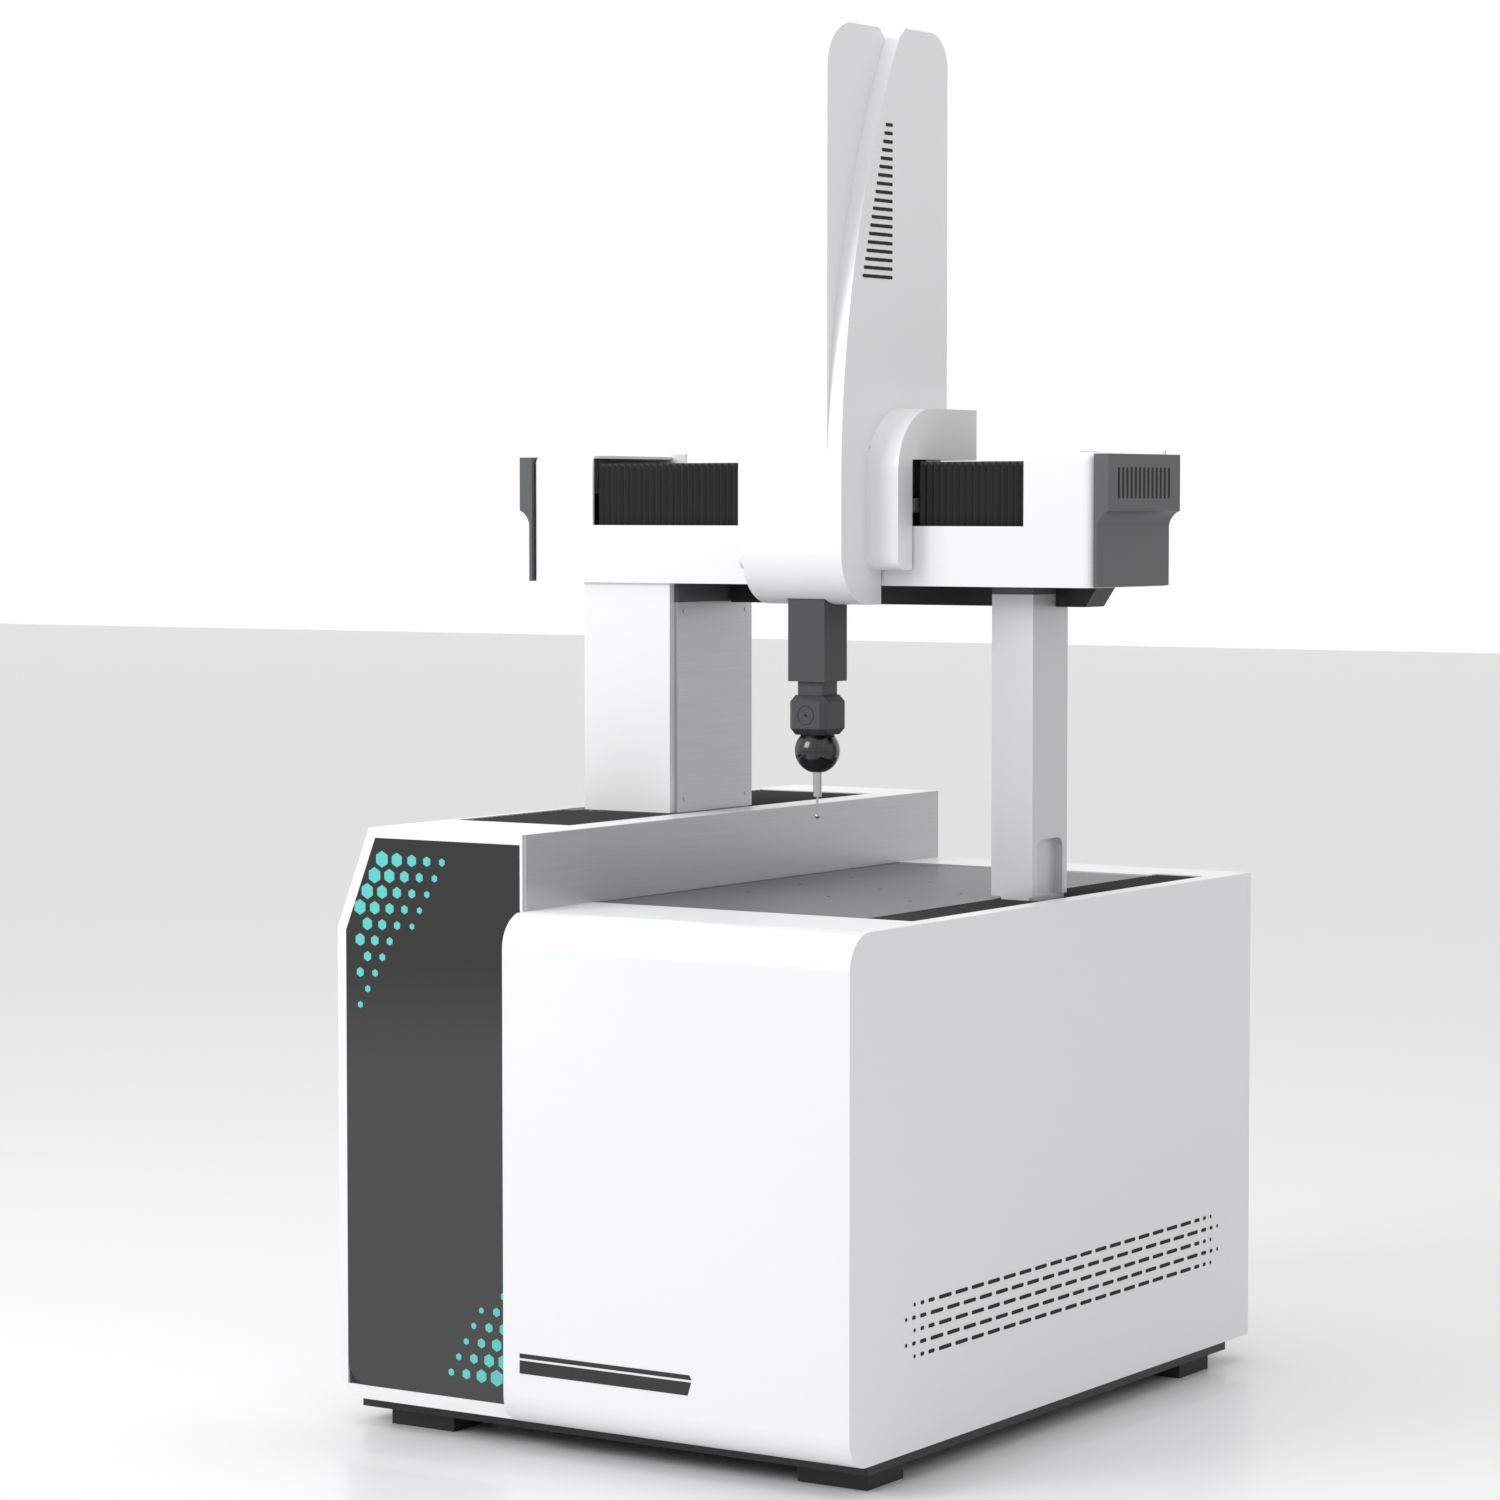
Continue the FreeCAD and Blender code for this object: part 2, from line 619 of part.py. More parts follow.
round_corners(cover, "YZ_Plane", [("sheet_wall - half_depth", "cover_low + sheet_wall")],
              "cover_low_radius - sheet_wall", "low_bend_inside")
pocket(cover, rectangle(cover, "YZ_Plane", "lip_end", "tower_right - cover_lip",
                        "tower_front - sheet_wall", "table_front", "0", "table_height"),
       "cover_lip", "lip_cut")
node(cover)

panel = new_body("right_side_panel")
pad(panel, rectangle(panel, "YZ_Plane", "panel_shape", "base_right - panel_wall",
                     "-half_depth", "half_depth", "cover_low", "table_height"),
    "panel_wall", "panel_pad")
round_corners(panel, "YZ_Plane", [("-half_depth", "table_height")], "cover_top_radius", "panel_top")
round_corners(panel, "YZ_Plane", [("-half_depth", "cover_low")], "cover_low_radius", "panel_low")
pad(panel, rectangle(panel, "XY_Plane", "panel_strip", "table_height - sheet_wall", "slot_right",
                     "base_right - panel_wall", "table_front", "strip_front"),
    "sheet_wall", "strip_pad")
node(panel)

back = new_body("base_back_cover")
pad(back, outline(back, "YZ_Plane", "back_section", "tower_right", [
    ("strip_front", "table_height"),
    ("strip_front", "table_height - sheet_wall"),
    ("half_depth - sheet_wall", "table_height - sheet_wall"),
    ("half_depth - sheet_wall", "cover_low"),
    ("half_depth", "cover_low"),
    ("half_depth", "table_height"),
]), "base_right - panel_wall - tower_right", "back_pad")
pocket(back, rectangle(back, "XY_Plane", "slot_notch", "table_height", "table_right",
                       "slot_right", "strip_front", "right_slot_back"),
       "sheet_wall", "slot_notch_cut", along=False)
node(back)

# the guide tower

TOWER = [
    ("tower_left", "cover_low"),
    ("tower_left", "tower_top - tower_chamfer_z"),
    ("tower_left + tower_chamfer_x", "tower_top"),
    ("tower_right", "tower_top"),
    ("tower_right", "cover_low"),
]


def glass_points(gap):
    """The glass panel's outline, wider by the gap."""
    return [
        ("tower_left + tower_frame - " + gap, "cover_low + tower_frame_low - " + gap),
        ("tower_left + tower_frame - " + gap, "tower_top - tower_chamfer_z - glass_corner_z"),
        ("tower_left + tower_chamfer_x + glass_corner_x", "tower_top - tower_frame_top + " + gap),
        ("tower_right - panel_wall + " + gap, "tower_top - tower_frame_top + " + gap),
        ("tower_right - panel_wall + " + gap, "cover_low + tower_frame_low - " + gap),
    ]


tower = new_body("tower_shell")
pad(tower, outline(tower, "XZ_Plane", "tower_section", "half_depth - panel_wall", TOWER),
    "half_depth - panel_wall - tower_front", "tower_pad")
round_corners(tower, "XZ_Plane", [("tower_left", "cover_low")], "tower_radius", "tower_corner")
pocket(tower, outline(tower, "XZ_Plane", "tower_inside", "half_depth - panel_wall", [
    ("tower_left + tower_radius", "cover_low"),
    ("tower_left + panel_wall", "cover_low + tower_radius"),
    ("tower_left + panel_wall", "tower_top - tower_chamfer_z"),
    ("tower_left + tower_chamfer_x + panel_wall / 2", "tower_top - panel_wall"),
    ("tower_right - panel_wall", "tower_top - panel_wall"),
    ("tower_right - panel_wall", "cover_low"),
], {0: ("tower_radius", 1)}), "half_depth - 2 * panel_wall - tower_front", "tower_hollow")
pocket(tower, outline(tower, "XZ_Plane", "glass_opening", "tower_front + panel_wall",
                      glass_points("glass_gap")), "panel_wall", "glass_cut")
pocket(tower, rectangle(tower, "XY_Plane", "tower_slot", "tower_top", "tower_slot_x0",
                        "tower_slot_x1", "tower_slot_y0", "tower_slot_y1"),
       "panel_wall", "tower_slot_cut", along=False)
node(tower)

glass = new_body("tower_glass_panel")
pad(glass, outline(glass, "XZ_Plane", "glass_shape", "tower_front + glass_thickness",
                   glass_points("0")), "glass_thickness", "glass_pad")
round_corners(glass, "XZ_Plane", [("tower_left + tower_frame - 0",
                                   "cover_low + tower_frame_low - 0")],
              "glass_radius", "glass_corner")
node(glass)

rear = new_body("tower_back_panel")
pad(rear, outline(rear, "XZ_Plane", "rear_shape", "half_depth", TOWER), "panel_wall", "rear_pad")
round_corners(rear, "XZ_Plane", [("tower_left", "cover_low")], "tower_radius", "rear_corner")
node(rear)

node(box("tower_guard_plate", "tower_right", "table_left", "tower_front + sheet_wall",
         "half_depth - sheet_wall", "table_height", "tower_top"))
node(box("controller_box", "tower_left + tower_frame + glass_radius",
         "tower_left + tower_frame + glass_radius + controller_width",
         "-controller_depth / 2", "controller_depth / 2",
         "plate_top", "plate_top + controller_height"))

# guides, screw and motor of the bridge

beams = [
    box("left_guide", "left_guide_x0", "left_guide_x1", "guide_front", "guide_back",
        "left_guide_low", "left_guide_top"),
    box("right_guide", "right_guide_x0", "right_guide_x1", "guide_front", "guide_back",
        "right_guide_low", "right_guide_top"),
]
node(together("guide_beams", beams))

LEFT_RAILS = ("left_guide_x0 + rail_inset + rail_width / 2",
              "left_guide_x1 - rail_inset - rail_width / 2")
rails = []
for i, (x, z) in enumerate(((LEFT_RAILS[0], "left_guide_top"), (LEFT_RAILS[1], "left_guide_top"),
                            ("right_rail_x", "right_guide_top"))):
    rails.append(box("bridge_rail_%d" % i, x + " - rail_width / 2", x + " + rail_width / 2",
                     "guide_front + bearing_length", "guide_back - bearing_length",
                     z, z + " + rail_height"))
node(together("bridge_rails", rails))
node(cylinder("bridge_screw", "Y", "screw_x", "guide_front + bearing_length", "screw_z",
              "screw_radius", "guide_back - guide_front - 2 * bearing_length"))
ends = [box("screw_bearing_%d" % i, "screw_x - nut_side", "screw_x + nut_side", y,
            y + " + bearing_length", "left_guide_top", "screw_z + nut_side")
        for i, y in enumerate(("guide_front", "guide_back - bearing_length"))]
node(together("bridge_screw_bearings", ends))
node(cylinder("bridge_motor", "Y", "screw_x", "guide_back", "screw_z", "motor_radius",
              "motor_length"))

# bellows in the two slots, plain closed blocks


def slot_bellows(label, x0, x1, y0, y1, top):
    return box(label, x0 + " + bellows_gap", x1 + " - bellows_gap", y0, y1,
               top + " - table_recess - bellows_depth", top + " - table_recess")


node(slot_bellows("table_bellows_front", "table_right", "slot_right", "right_slot_front",
                  "-right_leg_front - bellows_gap", "table_height"))
node(slot_bellows("table_bellows_back", "table_right", "slot_right",
                  "right_leg_back + bellows_gap", "right_slot_back", "table_height"))
node(slot_bellows("tower_bellows_front", "tower_slot_x0", "tower_slot_x1", "tower_slot_y0",
                  "-leg_front - bellows_gap", "tower_top"))
node(slot_bellows("tower_bellows_back", "tower_slot_x0", "tower_slot_x1",
                  "leg_back + bellows_gap", "tower_slot_y1", "tower_top"))

# ---------------------------------------------------------------- bridge, slides along Y


def bearing_block(name, x, y0, base, top):
    """A block that sits astride a rail, open downwards."""
    half = "rail_width / 2 + run_gap"
    outer = box(name + "_outer", "%s - (%s) - block_side" % (x, half),
                "%s + (%s) + block_side" % (x, half), y0, y0 + " + block_length",
                base + " + sheet_wall", top)
    groove = box(name + "_groove", "%s - (%s)" % (x, half), "%s + (%s)" % (x, half),
                 y0 + " - 1", y0 + " + block_length + 1", base, base + " + rail_height + run_gap")
    return cut(name, outer, groove)


blocks = []
for i, x in enumerate(LEFT_RAILS):
    for k, y in enumerate(("-leg_front - saddle_reach", "leg_back + saddle_reach - block_length")):
        blocks.append(bearing_block("left_block_%d%d" % (i, k), x, y, "left_guide_top",
                                    "saddle_z0"))
for k, y in enumerate(("-right_leg_front - block_length / 2",
                       "right_leg_back - block_length / 2")):
    blocks.append(bearing_block("right_block_%d" % k, "right_rail_x", y, "right_guide_top",
                                "slider_top"))
node(together("bridge_bearing_blocks", blocks))
saddles = [
    box("left_saddle", "left_guide_x0 + block_side / 2", "left_guide_x1 - block_side / 2",
        "-leg_front - saddle_reach", "leg_back + saddle_reach", "saddle_z0", "saddle_z1"),
    box("right_saddle", "right_guide_x0 + sheet_wall", "right_guide_x1 - sheet_wall",
        "-right_leg_front - block_length / 2", "right_leg_back + block_length / 2",
        "slider_top", "slider_top + block_side"),
]
node(together("bridge_saddles", saddles))
nut = box("nut_block", "screw_x - nut_side", "screw_x + nut_side", "-block_length / 2",
          "block_length / 2", "screw_z - nut_side", "saddle_z0")
nut_bore = cylinder("nut_bore", "Y", "screw_x", "-block_length / 2 - 1", "screw_z",
                    "screw_radius + screw_gap", "block_length + 2")
node(cut("bridge_nut", nut, nut_bore))

node(box("left_leg_core", "leg_x0", "leg_x1", "leg_cover - leg_front", "leg_back", "saddle_z1",
         "beam_bottom - leg_cap"))
node(box("left_leg_front_cover", "leg_x0", "leg_x1", "-leg_front", "leg_cover - leg_front",
         "leg_low", "beam_bottom"))
plates = [box("leg_plate_%d" % i, x, x + " + leg_plate", "leg_cover - leg_front", "leg_back",
              "leg_low", "beam_bottom - leg_cap")
          for i, x in enumerate(("leg_x0 - leg_plate", "leg_x1"))]
node(together("left_leg_side_plates", plates))
left_cap = box("left_cap", "leg_x0 - leg_plate", "leg_x1 + leg_plate", "leg_cover - leg_front",
               "leg_back", "beam_bottom - leg_cap", "beam_bottom")
right_cap = box("right_cap", "right_leg_x0", "right_leg_x1", "-right_leg_front",
                "right_leg_back", "beam_bottom - right_leg_cap", "beam_bottom")
node(together("leg_caps", [left_cap, right_cap]))

leg = new_body("right_leg")
pad(leg, outline(leg, "XZ_Plane", "leg_section", "right_leg_back", [
    ("right_leg_x0", "right_leg_low"),
    ("table_right + neck_inset", "right_leg_low"),
    ("table_right + neck_inset", "slider_top + block_side"),
    ("right_leg_x1 - neck_inset", "slider_top + block_side"),
    ("right_leg_x1 - neck_inset", "right_leg_low"),
    ("right_leg_x1", "right_leg_low"),
    ("right_leg_x1", "beam_bottom - right_leg_cap"),
    ("right_leg_x0", "beam_bottom - right_leg_cap"),
]), "right_leg_front + right_leg_back", "leg_pad")
pocket(leg, rectangle(leg, "YZ_Plane", "leg_recess", "right_leg_x1",
                      "recess_inset - right_leg_front", "right_leg_back - recess_inset",
                      "right_leg_low", "right_leg_low + recess_height"),
       "recess_depth", "leg_recess_cut", along=False)
round_corners(leg, "YZ_Plane", [("recess_inset - right_leg_front", "right_leg_low + recess_height"),
                                ("right_leg_back - recess_inset", "right_leg_low + recess_height")],
              "recess_radius", "leg_recess_bend")
node(leg)

# beam

node(box("beam_core", "core_x0", "core_x1", "-core_front", "core_back", "core_z0", "core_z1"))

front = new_body("beam_front_cover")
pad(front, rectangle(front, "XY_Plane", "front_shape", "beam_bottom", "beam_x0", "beam_x1",
                     "-beam_front", "beam_back - beam_wall"), "beam_height", "front_pad")
round_corners(front, "XY_Plane", [("beam_x0", "-beam_front"), ("beam_x1", "-beam_front")],
              "beam_end_radius", "end_bend")
round_corners(front, "YZ_Plane", [("-beam_front", "beam_top")], "beam_top_radius", "top_edge")
pocket(front, outline(front, "XY_Plane", "front_inside", "beam_bottom + beam_wall", [
    ("beam_x0 + beam_wall", "beam_back"),
    ("beam_x0 + beam_wall", "beam_end_radius - beam_front"),
    ("beam_x0 + beam_end_radius", "beam_wall - beam_front"),
    ("beam_x1 - beam_end_radius", "beam_wall - beam_front"),
    ("beam_x1 - beam_wall", "beam_end_radius - beam_front"),
    ("beam_x1 - beam_wall", "beam_back"),
], {1: ("beam_end_radius - beam_wall", -1), 3: ("beam_end_radius - beam_wall", -1)}),
       "beam_height - 2 * beam_wall", "front_hollow")
pocket(front, rectangle(front, "XZ_Plane", "window", "beam_back", "window_x0", "window_x1",
                        "window_z", "beam_top + 1"), "beam_back + beam_front + 1", "window_cut")
pocket(front, rectangle(front, "XY_Plane", "under_core", "beam_bottom", "core_x0 - run_gap",
                        "core_x1 + run_gap", "-core_front", "beam_back"),
       "beam_wall", "under_core_cut")
node(front)

cover = new_body("beam_back_cover")
inner_left = "window_x0 + 25"
inner_right = "window_x1 - 25"
pad(cover, outline(cover, "XZ_Plane", "back_shape", "beam_back", [
    ("beam_x0", "beam_bottom"),
    ("beam_x1", "beam_bottom"),
    ("beam_x1", "beam_top + back_raise"),
    (inner_right, "beam_top + back_raise"),
    (inner_right, "bellows_z"),
    (inner_left, "bellows_z"),
    (inner_left, "beam_top + back_raise"),
    ("beam_x0", "beam_top + back_raise"),
]), "beam_wall", "back_cover_pad")
node(cover)


def cross_block(name, x, lying):
    """A block astride one of the beam's rails: the front one when lying, else the top one."""
    half = "(rail_width / 2 + run_gap)"
    ends = (x + " - block_length / 2", x + " + block_length / 2")
    past = (x + " - block_length / 2 - 1", x + " + block_length / 2 + 1")
    if lying:
        outer = box(name + "_outer", ends[0], ends[1], "-saddle_y1", "-core_front - sheet_wall",
                    "front_rail_z - block_side - %s" % half,
                    "front_rail_z + block_side + %s" % half)
        groove = box(name + "_groove", past[0], past[1], "-core_front - rail_height - run_gap",
                     "-core_front", "front_rail_z - %s" % half, "front_rail_z + %s" % half)
    else:
        outer = box(name + "_outer", ends[0], ends[1], "-block_side - %s" % half,
                    "block_side + %s" % half, "core_z1 + sheet_wall", "arm_z1")
        groove = box(name + "_groove", past[0], past[1], "-%s" % half, half, "core_z1",
                     "core_z1 + rail_height + run_gap")
    return cut(name, outer, groove)


cross_rails = [
    box("cross_rail_front", "-cross_rail_length / 2", "cross_rail_length / 2",
        "-core_front - rail_height", "-core_front", "front_rail_z - rail_width / 2",
        "front_rail_z + rail_width / 2"),
    box("cross_rail_top", "-cross_rail_length / 2", "cross_rail_length / 2",
        "-rail_width / 2", "rail_width / 2", "core_z1", "core_z1 + rail_height"),
]
node(together("cross_rails", cross_rails))
node(cylinder("cross_screw", "X", "core_x0 + 2 * bearing_length", "cross_screw_y",
              "cross_screw_z", "cross_screw_radius",
              "core_x1 - core_x0 - 3 * bearing_length - cross_motor_length"))
bearings = [
    box("cross_bearing_%d" % i, x, x + " + bearing_length", "cross_screw_y - 12",
        "cross_screw_y + 12", "core_z1", "cross_screw_z + 12")
    for i, x in enumerate(("core_x0 + bearing_length",
                           "core_x1 - bearing_length - cross_motor_length"))]
node(together("cross_screw_bearings", bearings))
node(cylinder("cross_motor", "X", "core_x1 - cross_motor_length", "cross_screw_y",
              "cross_screw_z", "cross_motor_radius", "cross_motor_length"))

tray = new_body("cable_tray")
pad(tray, outline(tray, "XZ_Plane", "tray_section", "tray_back", [
    ("core_x0 + tray_left - 37", "beam_bottom"),
    ("core_x0 + tray_left - 37", "beam_bottom - tray_height"),
    ("core_x1 - tray_right + tray_bevel - 20 - tray_bevel", "beam_bottom - tray_height"),
    ("core_x1 - tray_right + tray_bevel - 20", "beam_bottom"),
]), "tray_depth", "tray_pad")
pocket(tray, rectangle(tray, "XY_Plane", "tray_notch", "beam_bottom",
                       "right_leg_x0 - 1", "right_leg_x1 + 1", "0", "right_leg_back + 1"),
       "tray_height", "tray_notch_cut", along=False)
node(tray)


def end_cap(label, side):
    """The vented cap at one end of the beam: side is 1 for the right and -1 for the left."""
    part = new_body(label)
    inner = "%d * beam_x1" % side
    outer = "%d * half_width" % side
    waist = "%d * (half_width - cap_step)" % side
    pad(part, outline(part, "XZ_Plane", label + "_section", "beam_back", [
        (inner, "beam_bottom + 1"),
        (waist, "beam_bottom + 1"),
        (waist, "beam_top - cap_box - cap_curve"),
        (outer, "beam_top - cap_box"),
        (outer, "beam_top - cap_drop"),
        (inner, "beam_top - cap_drop"),
    ], {2: ("1.35 * cap_curve", side)}), "beam_front + beam_back", label + "_pad")
    return part


node(together("beam_end_caps", [end_cap("left_cap_shell", -1), end_cap("right_cap_shell", 1)]))

# bellows of the beam window, plain closed solids that also lie over the beam


def beam_bellows(label, x0, x1):
    part = new_body(label)
    pad(part, outline(part, "YZ_Plane", label + "_section", x0, [
        ("-beam_bellows_front", "window_z - beam_wall"),
        ("beam_bellows_depth - beam_bellows_front", "window_z - beam_wall"),
        ("beam_bellows_depth - beam_bellows_front", "bellows_z - beam_bellows_depth"),
        ("beam_back - beam_wall - run_gap", "bellows_z - beam_bellows_depth"),
        ("beam_back - beam_wall - run_gap", "bellows_z"),
        ("-beam_bellows_front", "bellows_z"),
    ]), "(%s) - (%s)" % (x1, x0), label + "_pad")
    return node(part)


beam_bellows("beam_bellows_left", "window_x0 + run_gap", "side_x0 - bellows_gap")
beam_bellows("beam_bellows_right", "side_x1 + bellows_gap", "window_x1 - run_gap")

# ---------------------------------------------------------------- carriage, slides along X

saddle = new_body("carriage_saddle")
pad(saddle, outline(saddle, "YZ_Plane", "saddle_section", "side_x0 + saddle_margin", [
    ("-saddle_front", "arm_z0"),
    ("-saddle_y1", "arm_z0"),
    ("-saddle_y1", "arm_z1"),
    ("saddle_end", "arm_z1"),
    ("saddle_end", "arm_z2"),
    ("saddle_bevel - saddle_front", "arm_z2"),
    ("-saddle_front", "arm_z2 - 2 * saddle_bevel"),
]), "side_x1 - side_x0 - 2 * saddle_margin", "saddle_pad")
pocket(saddle, rectangle(saddle, "XY_Plane", "ram_channel", "arm_z0",
                         "carriage_offset - channel_half", "carriage_offset + channel_half",
                         "-saddle_front - 1", "-saddle_y1 - channel_web"),
       "arm_z2 - arm_z0 + 1", "ram_channel_cut")
node(saddle)

blocks = []
for i, side in enumerate(("- side_cover_right - 25", "+ side_cover_right + 25")):
    for lying in (True, False):
        blocks.append(cross_block("cross_block_%d%d" % (i, lying), "carriage_offset " + side,
                                  lying))
node(together("carriage_bearing_blocks", blocks))
nut = box("cross_nut_block", "carriage_offset - block_length / 4",
          "carriage_offset + block_length / 4", "cross_screw_y - 12", "cross_screw_y + 12",
          "cross_screw_z - 12", "arm_z1")
nut_bore = cylinder("cross_nut_bore", "X", "carriage_offset - block_length / 4 - 1",
                    "cross_screw_y", "cross_screw_z", "cross_screw_radius + screw_gap",
                    "block_length / 2 + 2")
node(cut("carriage_nut", nut, nut_bore))

spine = new_body("column_backbone")
wall = "channel_half + backbone_wall"
web = "-saddle_y1 - channel_web"
pad(spine, outline(spine, "XY_Plane", "spine_section", "arm_z2", [
    ("carriage_offset - (%s)" % wall, "-ram_centre - 20"),
    ("carriage_offset - channel_half", "-ram_centre - 20"),
    ("carriage_offset - channel_half", web),
    ("carriage_offset + channel_half", web),
    ("carriage_offset + channel_half", "-ram_centre - 20"),
    ("carriage_offset + (%s)" % wall, "-ram_centre - 20"),
    ("carriage_offset + (%s)" % wall, web + " + 13"),
    ("carriage_offset - (%s)" % wall, web + " + 13"),
]), "backbone_z - arm_z2", "spine_pad")
node(spine)
node(box("backbone_head_plate", "carriage_offset - (%s)" % wall, "carriage_offset + (%s)" % wall,
         "-ram_centre - 25", web + " + 13", "backbone_z", "backbone_z + 12"))
node(cylinder("lift_motor", "Z", "carriage_offset", "-ram_centre", "backbone_z + 12",
              "lift_motor_radius", "lift_motor_length"))
node(cylinder("lift_screw", "Z", "carriage_offset", "-ram_centre", "backbone_z - lift_screw_length",
              "cross_screw_radius", "lift_screw_length"))


def guide_ring(name, z):
    """A square ring round the ram that guides it."""
    outer = box(name + "_outer", "carriage_offset - channel_half", "carriage_offset + channel_half",
                "-ram_centre - ram_half - guide_ring_front", web, z, z + " + guide_ring_height")
    hole = box(name + "_hole", "carriage_offset - ram_half - run_gap",
               "carriage_offset + ram_half + run_gap", "-ram_centre - ram_half - run_gap",
               "-ram_centre + ram_half + run_gap", z + " - 1", z + " + guide_ring_height + 1")
    return cut(name, outer, hole)


node(together("ram_guide_rings", [guide_ring("low_ring", "arm_z0 + 20"),
                                  guide_ring("high_ring", "arm_z2 + 20")]))


def column_points(inset):
    """Outer outline of the column shell, or its inner one when an inset is given."""
    low_bend = "column_low_radius"
    return [
        ("column_low_radius - column_front", "column_low + " + inset),
        ("%s - column_front" % inset, "column_low + " + low_bend),
        ("%s - column_front" % inset, "column_low + lean_start"),
        ("lean_top - column_front + " + inset, "column_top - lean_end_drop - " + inset),
        ("lean_top + valley_width / 2 - column_front + " + inset, "column_top - " + inset),
        ("column_back - column_back_radius", "column_top - " + inset),
        ("column_back - " + inset, "column_top - column_back_radius"),
    ]


shell = new_body("column_shell")
arcs = {0: ("column_low_radius", 1), 2: ("lean_radius", 1), 5: ("column_back_radius", 1)}
pad(shell, outline(shell, "YZ_Plane", "shell_section", "column_x0", column_points("0") + [
    ("column_back", "arm_z2 + run_gap"),
    ("-saddle_front - run_gap", "arm_z2 + run_gap"),
    ("-saddle_front - run_gap", "arm_z0 - run_gap"),
    ("-saddle_y1", "arm_z0 - run_gap"),
    ("-saddle_y1", "column_low"),
], arcs), "column_width", "shell_pad")
arcs = {0: ("column_low_radius - column_wall", 1), 2: ("lean_radius - column_wall", 1),
        5: ("column_back_radius - column_wall", 1)}
pocket(shell, outline(shell, "YZ_Plane", "shell_inside", "column_x0 + column_wall",
                      column_points("column_wall") + [
                          ("column_back - column_wall", "arm_z2 - 1"),
                          ("-saddle_y1 - column_wall", "arm_z2 - 1"),
                          ("-saddle_y1 - column_wall", "column_low + column_wall"),
                      ], arcs), "column_width - 2 * column_wall", "shell_hollow")
pocket(shell, rectangle(shell, "XZ_Plane", "nose_opening", "-30", "nose_x0 + column_wall",
                        "nose_x1 - column_wall", "column_low + lean_start + 60",
                        "column_top - 2 * lean_end_drop"), "column_front", "nose_opening_cut")
pocket(shell, rectangle(shell, "XY_Plane", "ram_opening", "column_low",
                        "carriage_offset - ram_half - ram_gap",
                        "carriage_offset + ram_half + ram_gap",
                        "-ram_centre - ram_half - ram_gap", "-ram_centre + ram_half + ram_gap"),
       "column_low_radius / 2", "ram_opening_cut")
node(shell)

nose = new_body("column_nose")
pad(nose, outline(nose, "YZ_Plane", "nose_section", "nose_x0", [
    ("-column_front", "column_low + lean_start"),
    ("-column_front", "column_top - column_nose_radius"),
    ("column_nose_radius - column_front", "column_top"),
    ("lean_top - valley_width / 2 - column_front", "column_top"),
    ("lean_top - column_front", "column_top - lean_end_drop"),
], {1: ("column_nose_radius", 1), 4: ("lean_radius", -1)}), "nose_width", "nose_pad")
pocket(nose, outline(nose, "YZ_Plane", "nose_inside", "nose_x0 + column_wall", [
    ("column_wall - column_front", "column_low + lean_start"),
    ("column_wall - column_front", "column_top - column_nose_radius"),
    ("column_nose_radius - column_front", "column_top - column_wall"),
    ("lean_top - valley_width / 2 - column_front - column_wall", "column_top - column_wall"),
    ("lean_top - column_front - column_wall", "column_top - lean_end_drop - column_wall"),
    ("lean_top - column_front", "column_top - 6 * lean_end_drop"),
    ("lean_top - column_front", "column_low + lean_start"),
], {1: ("column_nose_radius - column_wall", 1)}), "nose_width - 2 * column_wall", "nose_hollow")
node(nose)


def side_cover(label, x0, x1, inner_start):
    """A hollow cover beside the column, open to the column and over the beam."""
    part = new_body(label)

    def points(inset, past):
        return [
            ("-saddle_y1 + " + past, "side_z0 + " + inset),
            ("side_cover_small - side_cover_front", "side_z0 + " + inset),
            ("%s - side_cover_front" % inset, "side_z0 + side_cover_small"),
            ("%s - side_cover_front" % inset, "side_z1 - side_cover_radius"),
            ("side_cover_radius - side_cover_front", "side_z1 - " + inset),
            ("side_cover_back - " + inset, "side_z1 - " + inset),
            ("side_cover_back - " + inset, "arm_z1 - " + past),
            ("-saddle_y1 + " + past, "arm_z1 - " + past),
        ]

    pad(part, outline(part, "YZ_Plane", label + "_section", x0, points("0", "0"),
                      {1: ("side_cover_small", 1), 3: ("side_cover_radius", 1)}),
        "(%s) - (%s)" % (x1, x0), label + "_pad")
    pocket(part, outline(part, "YZ_Plane", label + "_inside", inner_start,
                         points("side_cover_wall", "1"),
                         {1: ("side_cover_small - side_cover_wall", 1),
                          3: ("side_cover_radius - side_cover_wall", 1)}),
           "(%s) - (%s) - side_cover_wall" % (x1, x0), label + "_hollow")
    return part


node(together("carriage_side_covers", [
    side_cover("right_cover_shell", "column_x1", "side_x1", "column_x1"),
    side_cover("left_cover_shell", "side_x0", "column_x0", "side_x0 + side_cover_wall")]))

# ---------------------------------------------------------------- ram, slides along Z

quill = box("ram_bar", "carriage_offset - ram_half", "carriage_offset + ram_half",
            "-ram_centre - ram_half", "-ram_centre + ram_half", "ram_low", "ram_high")
quill_bore = cylinder("ram_hollow", "Z", "carriage_offset", "-ram_centre",
                      "ram_high - ram_bore_depth", "ram_bore", "ram_bore_depth + 1")
node(cut("ram", quill, quill_bore))
nut = cylinder("ram_nut_body", "Z", "carriage_offset", "-ram_centre", "ram_high - post_size / 3",
               "ram_bore", "post_size / 3")
nut_bore = cylinder("ram_nut_bore", "Z", "carriage_offset", "-ram_centre",
                    "ram_high - post_size / 3 - 1", "cross_screw_radius + screw_gap",
                    "post_size / 3 + 2")
node(cut("ram_nut", nut, nut_bore))
node(box("probe_adapter", "carriage_offset - adapter_size / 2",
         "carriage_offset + adapter_size / 2", "-ram_centre - adapter_size / 2",
         "-ram_centre + adapter_size / 2", "adapter_low", "ram_low"))

